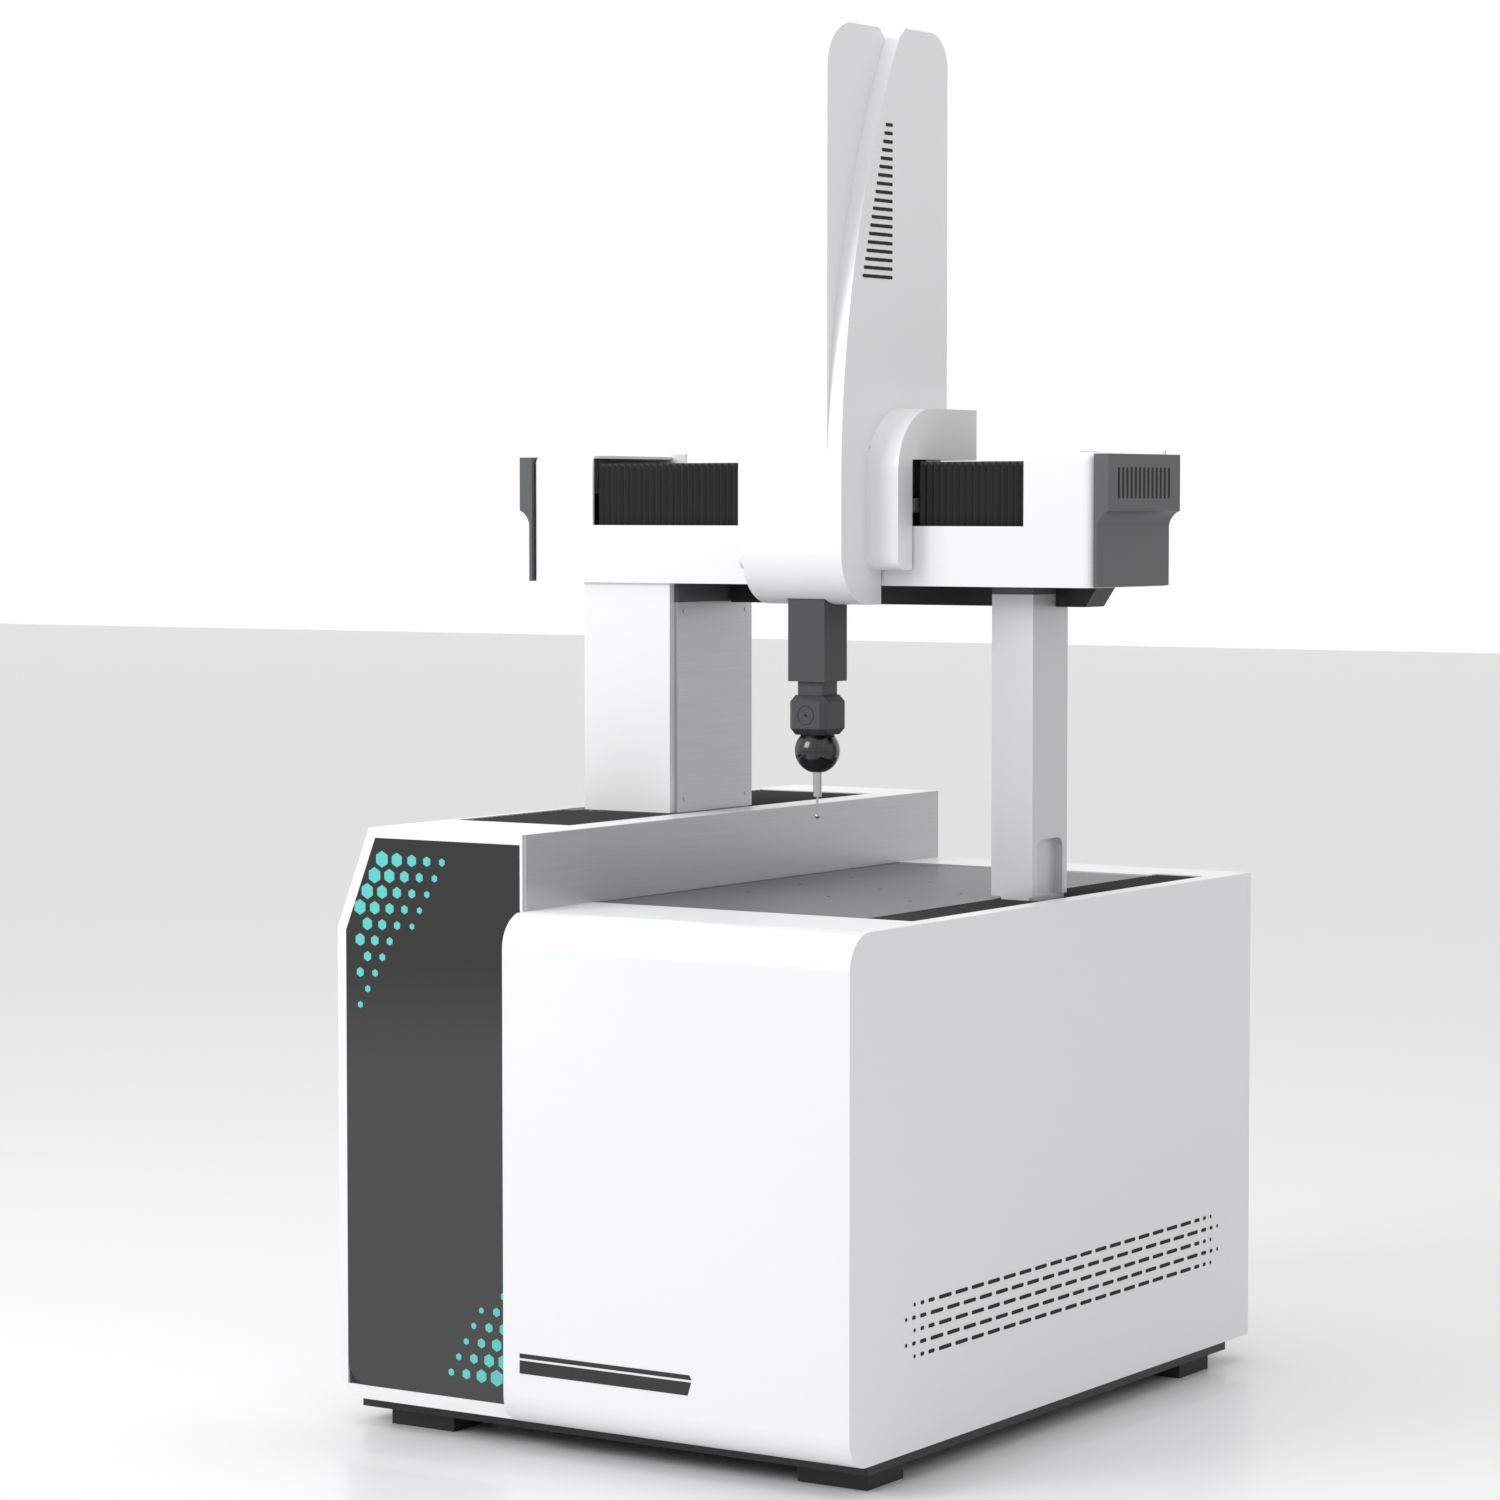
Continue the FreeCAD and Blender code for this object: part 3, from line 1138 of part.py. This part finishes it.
head = new_body("head_block")
pad(head, rectangle(head, "XY_Plane", "head_shape", "head_low",
                    "carriage_offset - head_size / 2", "carriage_offset + head_size / 2",
                    "-ram_centre - head_size / 2", "-ram_centre + head_size / 2"),
    "head_height", "head_pad")
bevel = head.newObject("PartDesign::Chamfer", "head_bevels")
bevel.Base = (head.Group[-2], ["Edge%d" % i for i in range(1, 13)])
bind(bevel, "Size", "head_bevel")
head.Tip = bevel
doc.recompute()


def sphere(name, radius):
    item = doc.addObject("Part::Sphere", name)
    bind(item, "Radius", radius)
    place(item, "carriage_offset", "-ram_centre", "ball_z")
    return item


rotor_seat = cylinder("rotor_seat", "Z", "carriage_offset", "-ram_centre", "head_low - 1",
                      "rotor_radius + run_gap", "rotor_depth + run_gap + 1")
socket = fuse("head_socket", [rotor_seat, sphere("ball_socket", "ball_radius + ball_gap")])
node(cut("head_body", head, socket))

# swivel, turns about Z


def slice_box(name, half):
    """A slab across the ball, square to the tilt axis."""
    return box(name, "carriage_offset - (%s)" % half, "carriage_offset + (%s)" % half,
               "-ram_centre - 2 * ball_radius", "-ram_centre + 2 * ball_radius",
               "ball_z - 2 * ball_radius", "ball_z + 2 * ball_radius")


rotor = fuse("rotor", [
    sphere("swivel_ball", "ball_radius"),
    cylinder("rotor_boss", "Z", "carriage_offset", "-ram_centre", "head_low - 3",
             "rotor_radius", "rotor_depth + 3")])
gap_slab = doc.addObject("Part::Common", "slice_space")
gap_slab.Base = slice_box("slice_space_slab", "ball_slice + slice_gap")
gap_slab.Tool = sphere("slice_space_ball", "ball_radius + ball_gap")
pin_holes = cylinder("tilt_pin_holes", "X", "carriage_offset - pin_reach - pin_gap",
                     "-ram_centre", "ball_z", "pin_radius + pin_gap",
                     "2 * (pin_reach + pin_gap)")
below = box("below_ball", "carriage_offset - ball_radius", "carriage_offset + ball_radius",
            "-ram_centre - ball_radius", "-ram_centre + ball_radius",
            "ball_z - 2 * ball_radius", "module_top")
node(cut("head_swivel", rotor, fuse("swivel_spaces", [gap_slab, pin_holes, below])))

# tilting ball slice with the probe

slab = doc.addObject("Part::Common", "ball_slice_solid")
slab.Base = slice_box("ball_slab", "ball_slice")
slab.Tool = sphere("tilt_ball", "ball_radius")
flat = cut("ball_flat_cut", slab, box("under_flat", "carriage_offset - ball_radius",
                                      "carriage_offset + ball_radius",
                                      "-ram_centre - ball_radius", "-ram_centre + ball_radius",
                                      "ball_z - 2 * ball_radius", "module_top"))
tilt_pins = cylinder("tilt_pins", "X", "carriage_offset - pin_reach", "-ram_centre", "ball_z",
                     "pin_radius", "2 * pin_reach")
node(fuse("probe_ball", [flat, tilt_pins]))
node(cylinder("probe_module", "Z", "carriage_offset", "-ram_centre", "module_low",
              "module_radius", "module_length"))
stem = cylinder("stylus_stem", "Z", "carriage_offset", "-ram_centre", "tip_z", "stylus_radius",
                "module_low - tip_z")
tip = doc.addObject("Part::Sphere", "stylus_tip")
bind(tip, "Radius", "tip_radius")
place(tip, "carriage_offset", "-ram_centre", "tip_z")
node(fuse("stylus", [stem, tip]))

# ---------------------------------------------------------------- check and write

doc.recompute()
for item in doc.Objects:
    state = set(item.State)
    if state & {"Invalid", "Error"}:
        raise RuntimeError("%s did not build: %s" % (item.Name, item.getStatusString()))
for item in NODES:
    if item.Shape.isNull() or not item.Shape.isValid():
        raise RuntimeError(item.Label + " has no valid shape")
os.makedirs("parts", exist_ok=True)
for item in NODES:
    item.Shape.exportStep("parts/%s.step" % item.Label)
    extent = item.Shape.BoundBox
    print("%-26s %2d  x %.1f %.1f  y %.1f %.1f  z %.1f %.1f" % (
        item.Label, len(item.Shape.Solids), extent.XMin, extent.XMax, extent.YMin, extent.YMax,
        extent.ZMin, extent.ZMax))
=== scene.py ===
import json
import math
import bpy
import numpy as np
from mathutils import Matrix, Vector


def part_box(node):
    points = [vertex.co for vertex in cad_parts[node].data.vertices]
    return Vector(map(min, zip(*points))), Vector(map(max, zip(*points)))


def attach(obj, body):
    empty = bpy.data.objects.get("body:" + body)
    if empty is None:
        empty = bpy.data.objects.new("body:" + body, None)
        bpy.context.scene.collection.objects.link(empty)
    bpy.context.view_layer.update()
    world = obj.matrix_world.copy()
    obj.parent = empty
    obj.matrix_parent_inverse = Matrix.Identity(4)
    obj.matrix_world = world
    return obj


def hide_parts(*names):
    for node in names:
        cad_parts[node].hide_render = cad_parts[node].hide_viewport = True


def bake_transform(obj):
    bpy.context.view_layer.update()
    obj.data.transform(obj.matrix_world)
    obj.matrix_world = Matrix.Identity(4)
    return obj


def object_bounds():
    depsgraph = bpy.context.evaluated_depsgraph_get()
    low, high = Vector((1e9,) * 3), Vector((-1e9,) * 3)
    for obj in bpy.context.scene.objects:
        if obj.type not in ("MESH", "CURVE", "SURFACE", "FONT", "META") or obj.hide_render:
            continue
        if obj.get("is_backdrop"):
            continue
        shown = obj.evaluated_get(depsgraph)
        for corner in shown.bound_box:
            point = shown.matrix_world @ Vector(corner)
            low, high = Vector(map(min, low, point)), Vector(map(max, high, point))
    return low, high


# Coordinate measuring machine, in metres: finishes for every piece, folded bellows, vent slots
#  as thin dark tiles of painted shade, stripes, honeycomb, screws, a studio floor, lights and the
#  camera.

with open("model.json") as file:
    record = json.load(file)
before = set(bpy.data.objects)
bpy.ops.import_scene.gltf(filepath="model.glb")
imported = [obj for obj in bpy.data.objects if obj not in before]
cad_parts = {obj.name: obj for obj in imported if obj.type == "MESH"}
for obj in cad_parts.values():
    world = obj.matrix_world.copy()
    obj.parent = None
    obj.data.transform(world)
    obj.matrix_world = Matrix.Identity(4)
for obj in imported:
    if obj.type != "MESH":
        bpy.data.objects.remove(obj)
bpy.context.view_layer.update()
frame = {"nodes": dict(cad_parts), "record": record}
nodes = frame["nodes"]


class Socket:
    """A node's output that can be added, subtracted, multiplied and divided."""

    def __init__(self, paint, output):
        self.paint = paint
        self.output = output

    def join(self, kind, first, second):
        return self.paint.node("ShaderNodeMath", {"operation": kind}, {0: first, 1: second})

    def __add__(self, other):
        return self.join("ADD", self, other)

    def __radd__(self, other):
        return self.join("ADD", other, self)

    def __sub__(self, other):
        return self.join("SUBTRACT", self, other)

    def __rsub__(self, other):
        return self.join("SUBTRACT", other, self)

    def __mul__(self, other):
        return self.join("MULTIPLY", self, other)

    def __rmul__(self, other):
        return self.join("MULTIPLY", other, self)

    def __truediv__(self, other):
        return self.join("DIVIDE", self, other)

    def __rtruediv__(self, other):
        return self.join("DIVIDE", other, self)


class Paint:
    """A node tree with one way of making nodes: type, settings, then values and links."""

    def __init__(self, tree):
        self.tree = tree
        tree.nodes.clear()

    def node(self, kind, settings=None, inputs=None, output=0):
        made = self.tree.nodes.new(kind)
        for name, value in (settings or {}).items():
            setattr(made, name, value)
        for name, value in (inputs or {}).items():
            if isinstance(value, Socket):
                self.tree.links.new(value.output, made.inputs[name])
            else:
                made.inputs[name].default_value = value
        return Socket(self, made.outputs[output]) if made.outputs else None


BUMP_HEIGHT = 0.0005
ROUGH_SPREAD = 0.08
FINE_SHARE = 0.85
FINE_DETAIL = 3.0
BROAD_SHARE = 0.15
BROAD_SCALE = 3.0
BROAD_DETAIL = 2.0
# sockets of a Mix node that mixes colours
MIX_SHARE, MIX_FIRST, MIX_SECOND, MIX_RESULT = 0, 6, 7, 2
# slot: colour, metallic, roughness, coat, grain scale along x y z, colour change, bump
FINISHES = {
    "black_rubber": ((0.012, 0.012, 0.012), 0.0, 0.75, 0.0, (300, 300, 300), 0.3, 0.15),
    "black_frame": ((0.012, 0.012, 0.013), 0.0, 0.5, 0.0, (400, 400, 400), 0.2, 0.08),
    "grey_frame": ((0.22, 0.225, 0.23), 0.0, 0.6, 0.0, (300, 300, 300), 0.15, 0.08),
    "table_stone": ((0.11, 0.115, 0.12), 0.3, 0.42, 0.0, (900, 4, 900), 0.45, 0.05),
    "white_cover": ((0.80, 0.805, 0.81), 0.0, 0.38, 0.15, (900, 900, 900), 0.02, 0.03),
    "black_glass": ((0.004, 0.004, 0.005), 0.0, 0.05, 0.6, (5, 5, 5), 0.2, 0.0),
    "brushed_plate": ((0.50, 0.505, 0.51), 0.75, 0.36, 0.0, (1200, 6, 1200), 0.16, 0.05),
    "ground_steel": ((0.45, 0.455, 0.46), 1.0, 0.3, 0.0, (60, 900, 900), 0.15, 0.03),
    "bellows": ((0.008, 0.008, 0.009), 0.0, 0.7, 0.0, (500, 500, 500), 0.3, 0.12),
    "cast_aluminium": ((0.58, 0.585, 0.59), 0.5, 0.42, 0.0, (500, 500, 500), 0.05, 0.05),
    "black_beam": ((0.006, 0.006, 0.007), 0.0, 0.45, 0.0, (300, 300, 300), 0.2, 0.04),
    "dark_cover": ((0.075, 0.077, 0.08), 0.0, 0.45, 0.05, (800, 800, 800), 0.08, 0.05),
    "dark_ram": ((0.05, 0.051, 0.053), 0.2, 0.42, 0.0, (800, 800, 8), 0.12, 0.04),
    "dark_head": ((0.05, 0.051, 0.054), 0.2, 0.4, 0.0, (600, 600, 600), 0.1, 0.04),
    "black_head": ((0.004, 0.004, 0.005), 0.0, 0.18, 0.4, (80, 80, 80), 0.2, 0.0),
    "teal": ((0.09, 0.55, 0.50), 0.0, 0.3, 0.2, (300, 300, 300), 0.1, 0.0),
    "vent_dark": ((0.004, 0.004, 0.004), 0.0, 0.8, 0.0, (300, 300, 300), 0.2, 0.05),
}


def finish(slot):
    """Fine noise, stretched along the grain, and broad noise are summed by their shares. The sum
    moves the colour and the roughness about their middle, and the fine noise alone makes a bump."""
    colour, metallic, rough, coat, grain, change, bump = FINISHES[slot]
    material = bpy.data.materials.new(slot)
    material.use_nodes = True
    paint = Paint(material.node_tree)
    spot = paint.node("ShaderNodeTexCoord", output="Object")
    spot = paint.node("ShaderNodeVectorMath", {"operation": "MULTIPLY"}, {0: spot, 1: grain})
    noise = paint.node("ShaderNodeTexNoise", {}, {
        "Vector": spot, "Scale": 1.0, "Detail": FINE_DETAIL})
    broad = paint.node("ShaderNodeTexNoise", {}, {
        "Vector": paint.node("ShaderNodeTexCoord", output="Object"),
        "Scale": BROAD_SCALE, "Detail": BROAD_DETAIL})
    share = FINE_SHARE * noise + BROAD_SHARE * broad
    darker = [c * (1 - change) for c in colour] + [1]
    lighter = [min(1.0, c * (1 + change)) for c in colour] + [1]
    tint = paint.node("ShaderNodeMix", {"data_type": "RGBA"},
                      {MIX_SHARE: share, MIX_FIRST: darker, MIX_SECOND: lighter},
                      output=MIX_RESULT)
    values = {"Base Color": tint, "Metallic": metallic, "Coat Weight": coat,
              "Roughness": rough - ROUGH_SPREAD / 2 + ROUGH_SPREAD * share}
    if bump:
        values["Normal"] = paint.node("ShaderNodeBump", {}, {
            "Strength": bump, "Distance": BUMP_HEIGHT, "Height": noise})
    shader = paint.node("ShaderNodeBsdfPrincipled", {}, values)
    paint.node("ShaderNodeOutputMaterial", {}, {"Surface": shader})
    return material


materials = {slot: finish(slot) for slot in FINISHES}
for part in frame["record"]["subparts"]:
    piece = nodes[part["node"]]
    piece.data.materials.clear()
    piece.data.materials.append(materials[part["material_slot"]])


def solid(name, points, faces, slot):
    """One closed mesh from whole arrays of points and faces."""
    mesh = bpy.data.meshes.new(name)
    mesh.from_pydata([tuple(p) for p in points], [], [tuple(f) for f in faces])
    mesh.update()
    piece = bpy.data.objects.new(name, mesh)
    bpy.context.scene.collection.objects.link(piece)
    mesh.materials.append(materials[slot])
    return piece


def tube(name, rings, slot):
    """Closed skin through a row of rings: each ring's point i joins the next ring's point i, and
    the first and last rings are closed with a flat face."""
    rings = np.asarray(rings, float)
    count, around, _ = rings.shape
    index = np.arange(count * around).reshape(count, around)
    near, far = index[:-1], index[1:]
    quads = np.stack([near, np.roll(near, -1, 1), np.roll(far, -1, 1), far], -1).reshape(-1, 4)
    faces = quads.tolist() + [index[0][::-1].tolist(), index[-1].tolist()]
    return solid(name, rings.reshape(-1, 3), faces, slot)


def tiles(name, outlines, axis, level, height, slot):
    """Flat tiles: every outline, given along the two other axes, is raised from the level by the
    height along its axis (0, 1 or 2)."""
    points, faces = [], []
    others = [k for k in range(3) if k != axis]
    for outline in outlines:
        outline = np.asarray(outline, float)
        n, start = len(outline), len(points)
        for place in (level, level + height):
            ring = np.zeros((n, 3))
            ring[:, others[0]] = outline[:, 0]
            ring[:, others[1]] = outline[:, 1]
            ring[:, axis] = place
            points += ring.tolist()
        loop = list(range(n))
        faces.append([start + i for i in loop][::-1])
        faces.append([start + n + i for i in loop])
        faces += [[start + i, start + (i + 1) % n, start + n + (i + 1) % n, start + n + i]
                  for i in loop]
    piece = solid(name, points, faces, slot)
    if (height < 0) != (axis == 1):
        piece.data.flip_normals()
    return piece


END_STEPS = 16


def rounded(u, v, wide, high):
    """A slot outline with round ends about (u, v): a circle as wide as the narrow side, with each
    point moved outwards along both sides by what the circle leaves of half their length."""
    turn = np.linspace(0, 2 * np.pi, END_STEPS, endpoint=False)
    r = min(wide, high) / 2
    return np.stack([u + np.sign(np.cos(turn)) * (wide / 2 - r) + r * np.cos(turn),
                     v + np.sign(np.sin(turn)) * (high / 2 - r) + r * np.sin(turn)], -1)


FEWEST_FOLDS = 4


def folds(start, end, pitch):
    """Even places along a bellows, two to a fold, and 0 or 1 for its valleys and crests. The folds
    are as many as the pitch fits in the length, and never fewer than FEWEST_FOLDS."""
    count = 2 * max(FEWEST_FOLDS, round(abs(end - start) / pitch))
    return np.linspace(start, end, count + 1), np.arange(count + 1) % 2


SLOT_PITCH = 0.012
SLOT_FOLD = 0.006
BEAM_PITCH = 0.011
BEAM_FOLD = 0.005
BEAM_SKIN = 0.0065


def slot_bellows(node):
    """Zigzag top over a flat underside, folded along Y: the top is the box's own at a crest and
    SLOT_FOLD lower at a valley."""
    low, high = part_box(node)
    places, crest = folds(low.y, high.y, SLOT_PITCH)
    rings = []
    for y, up in zip(places, crest):
        top = high.z - SLOT_FOLD * (1 - up)
        rings.append([(low.x, y, low.z), (low.x, y, top), (high.x, y, top), (high.x, y, low.z)])
    piece = tube(node + "_folds", rings, "bellows")
    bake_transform(piece)
    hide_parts(node)


for name in ("table_bellows", "tower_bellows"):
    slot_bellows(name + "_front")
    slot_bellows(name + "_back")


def beam_bellows(node):
    """A folded skin with a front and a top, folded along X: both are the box's own at a crest and
    BEAM_FOLD further in at a valley."""
    low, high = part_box(node)
    places, crest = folds(low.x, high.x, BEAM_PITCH)
    rings = []
    for x, up in zip(places, crest):
        dip = BEAM_FOLD * (1 - up)
        front, top = low.y + dip, high.z - dip
        inner, under = low.y + BEAM_SKIN, high.z - BEAM_SKIN
        rings.append([(x, front, low.z), (x, inner, low.z), (x, inner, under),
                      (x, high.y, under), (x, high.y, top), (x, front, top)])
    piece = tube(node + "_folds", rings, "bellows")
    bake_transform(piece)
    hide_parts(node)


beam_bellows("beam_bellows_left")
beam_bellows("beam_bellows_right")

# height of a thin plate on a cover
THIN = 0.0004

# vents of the side panel: rows of long slots that end in three ever shorter ones. Each slot is a
# thin dark tile on the panel, painted shade in place of the opening
VENT_ROWS = 5
VENT_SLOTS = 17
VENT_MIDDLE = 0.019
VENT_LOW = 0.127
VENT_ROW_PITCH = 0.01725
VENT_PITCH = 0.0436
VENT_LENGTH = 0.033
VENT_HEIGHT = 0.0055
VENT_TAILS = ((0.036, 0.016), (0.060, 0.009), (0.080, 0.0055))
low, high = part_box("right_side_panel")
outlines = []
for row in range(VENT_ROWS):
    z = low.z + VENT_LOW + VENT_ROW_PITCH * row
    count = VENT_SLOTS + row % 2
    half = (count - 1) / 2
    for i in range(count):
        outlines.append(rounded(VENT_MIDDLE + (i - half) * VENT_PITCH, z, VENT_LENGTH,
                                VENT_HEIGHT))
    for side in (-1, 1):
        for reach, wide in VENT_TAILS:
            y = VENT_MIDDLE + side * (half * VENT_PITCH + reach)
            outlines.append(rounded(y, z, wide, VENT_HEIGHT))
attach(tiles("side_vent_shade_tiles", outlines, 0, high.x, THIN, "vent_dark"), "base")

# vents of the column, on both sides: their front ends lean back with the column. Each slot is a
# thin dark tile, painted shade in place of the opening
COLUMN_VENTS = 19
COLUMN_FRONT = 0.055
COLUMN_LEAN = 0.0034
COLUMN_BACK = 0.135
COLUMN_LOW = 0.457
COLUMN_PITCH = 0.0118
COLUMN_SLOT = 0.005
low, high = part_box("column_shell")
outlines = []
for i in range(COLUMN_VENTS):
    front, back = low.y + COLUMN_FRONT + COLUMN_LEAN * i, low.y + COLUMN_BACK
    outlines.append(rounded((front + back) / 2, low.z + COLUMN_LOW + COLUMN_PITCH * i,
                            back - front, COLUMN_SLOT))
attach(tiles("column_vent_shade_tiles_right", outlines, 0, high.x, THIN, "vent_dark"), "carriage")
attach(tiles("column_vent_shade_tiles_left", outlines, 0, low.x, -THIN, "vent_dark"), "carriage")

# vents of the beam's end caps: each slot is a thin dark tile, painted shade in place of the opening
CAP_VENTS = 13
CAP_FIRST = -0.060
CAP_PITCH = 0.0122
CAP_DROP = 0.0395
CAP_SLOT = (0.005, 0.043)
low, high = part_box("beam_end_caps")
outlines = [rounded(CAP_FIRST + CAP_PITCH * i, high.z - CAP_DROP, *CAP_SLOT)
            for i in range(CAP_VENTS)]
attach(tiles("cap_vent_shade_tiles_right", outlines, 0, high.x, THIN, "vent_dark"), "bridge")
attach(tiles("cap_vent_shade_tiles_left", outlines, 0, low.x, -THIN, "vent_dark"), "bridge")

# two stripes on the front cover: low and high level, then the right end at each of the two
STRIPE_LEFT = -0.146
STRIPES = ((0.1335, 0.1398, 0.135, 0.131), (0.1124, 0.1303, 0.1285, 0.134))
low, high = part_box("right_front_cover")
stripes = [[(STRIPE_LEFT, z0), (x0, z0), (x1, z1), (STRIPE_LEFT, z1)]
           for z0, z1, x0, x1 in STRIPES]
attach(tiles("front_stripes", stripes, 1, low.y, -THIN, "black_frame"), "base")

# honeycomb on the glass panel: six-sided tiles in two triangles, at the upper left corner and the
# lower right one, that grow towards the corner. The patches are a triangle's width and height, and
# the slant values keep the tiles off the panel's slanted upper left edge.
CELL_PITCH = 0.026
CELL_ROW = 0.0228
CELL_ROWS = 40
CELL_COLUMNS = 16
CELL_FIRST = 0.012
CELL_SIZE = 0.0125
CELL_LEAST = 0.35
CELL_MARGIN = 0.014
SLANT_FROM = 0.80
SLANT_REACH = 0.16
SLANT_SHARE = 0.4
UPPER_PATCH = (0.21, 0.28)
LOWER_PATCH = (0.155, 0.227)
low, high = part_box("tower_glass_panel")
cells = []
turn = np.radians(np.arange(6) * 60 + 30)
for row in range(CELL_ROWS):
    for column in range(CELL_COLUMNS):
        x = low.x + CELL_PITCH * (column + 0.5 * (row % 2)) + CELL_FIRST
        z = low.z + CELL_ROW * row + CELL_FIRST
        inside_x = low.x + CELL_MARGIN < x < high.x - CELL_MARGIN
        if not (inside_x and low.z + CELL_MARGIN < z < high.z - CELL_MARGIN):
            continue
        beyond_slant = x - low.x < (z - high.z + SLANT_REACH) * SLANT_SHARE
        if z - low.z > (high.z - low.z) * SLANT_FROM and beyond_slant:
            continue
        upper = (z - (high.z - UPPER_PATCH[1])) / UPPER_PATCH[1] - (x - low.x) / UPPER_PATCH[0]
        lower = ((low.z + LOWER_PATCH[1]) - z) / LOWER_PATCH[1] - (high.x - x) / LOWER_PATCH[0]
        near = max(upper, lower)
        if near > 0:
            size = CELL_SIZE * min(1.0, CELL_LEAST + near)
            cells.append(np.stack([x + size * np.cos(turn), z + size * np.sin(turn)], -1))
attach(tiles("glass_honeycomb", cells, 1, low.y, -THIN, "teal"), "base")

# screw heads on the left leg's right plate
SCREW_SIZE = 0.007
SCREW_INSET_Y = (0.017, 0.016)
SCREW_INSET_Z = (0.019, 0.0135)
low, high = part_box("left_leg_side_plates")
heads = [rounded(y, z, SCREW_SIZE, SCREW_SIZE)
         for y in (low.y + SCREW_INSET_Y[0], high.y - SCREW_INSET_Y[1])
         for z in (low.z + SCREW_INSET_Z[0], high.z - SCREW_INSET_Z[1])]
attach(tiles("leg_screws", heads, 0, high.x, 2 * THIN, "ground_steel"), "bridge")

# front face of the head: a ring and a middle dot
RING = (0.0128, 0.0134)
RING_STEPS = 48
DOT_SIZE = 0.004
low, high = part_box("head_body")
x, z = (low.x + high.x) / 2, (low.z + high.z) / 2
steps = np.linspace(0, 2 * np.pi, RING_STEPS, endpoint=False)
ring = [[(x + a * np.cos(t), z + a * np.sin(t)) for a, t in
         ((RING[0], s0), (RING[1], s0), (RING[1], s1), (RING[0], s1))]
        for s0, s1 in zip(steps, np.roll(steps, -1))]
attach(tiles("head_ring", ring + [rounded(x, z, DOT_SIZE, DOT_SIZE)], 1, low.y, -THIN,
              "vent_dark"), "ram")

# floor, world and lights
REACH = 30
AMBIENT = 0.75
low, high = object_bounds()
floor = solid("floor", [(-REACH, -REACH, 0), (REACH, -REACH, 0), (REACH, REACH, 0),
                        (-REACH, REACH, 0)], [(0, 1, 2, 3)], "white_cover")
floor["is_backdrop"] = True
world = bpy.data.worlds.new("studio")
bpy.context.scene.world = world
world.use_nodes = True
paint = Paint(world.node_tree)
path = [paint.node("ShaderNodeLightPath", output=name) for name in
        ("Is Camera Ray", "Is Glossy Ray", "Is Transmission Ray")]
seen = paint.node("ShaderNodeMath", {"operation": "ADD", "use_clamp": True},
                  {0: path[0] + path[1], 1: path[2]})
ambient = paint.node("ShaderNodeBackground", {}, {"Color": (1, 1, 1, 1), "Strength": AMBIENT})
white = paint.node("ShaderNodeBackground", {}, {"Color": (1, 1, 1, 1), "Strength": 1.0})
both = paint.node("ShaderNodeMixShader", {}, {0: seen, 1: ambient, 2: white})
paint.node("ShaderNodeOutputWorld", {}, {"Surface": both})


def lamp(name, place, aim, size, power):
    """A square area light at a place, turned to face what it is aimed at."""
    light = bpy.data.lights.new(name, "AREA")
    light.size = size
    light.energy = power
    item = bpy.data.objects.new(name, light)
    bpy.context.scene.collection.objects.link(item)
    item.location = place
    item.rotation_euler = (Vector(aim) - Vector(place)).to_track_quat("-Z", "Y").to_euler()
    item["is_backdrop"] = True


KEY_PLACE = (-2.5, -4.5, 3.5)
KEY_SIZE = 2.5
KEY_POWER = 150
TOP_PLACE = (0, -0.5, 5.0)
TOP_SIZE = 3.0
TOP_POWER = 60
middle = (0, 0, high.z / 2)
lamp("key", KEY_PLACE, middle, KEY_SIZE, KEY_POWER)
lamp("top", TOP_PLACE, middle, TOP_SIZE, TOP_POWER)

view = bpy.context.scene.view_settings
view.view_transform = "Standard"

# camera: it stands to the right of the front and looks a little down
AZIMUTH = 32.99
ELEVATION = 3.21
EYE = (3.3293, -5.3530, 1.2914)
LENS_MM = 105.25
SENSOR_MM = 36
camera = bpy.data.cameras.new("camera")
camera.lens = LENS_MM
camera.sensor_width = SENSOR_MM
camera.dof.use_dof = False
eye = bpy.data.objects.new("camera", camera)
bpy.context.scene.collection.objects.link(eye)
eye.location = EYE
turned, dipped = math.radians(AZIMUTH), math.radians(ELEVATION)
aim = Vector((-math.sin(turned) * math.cos(dipped), math.cos(turned) * math.cos(dipped),
              -math.sin(dipped)))
eye.rotation_euler = aim.to_track_quat("-Z", "Y").to_euler()
bpy.context.scene.camera = eye

low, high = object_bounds()
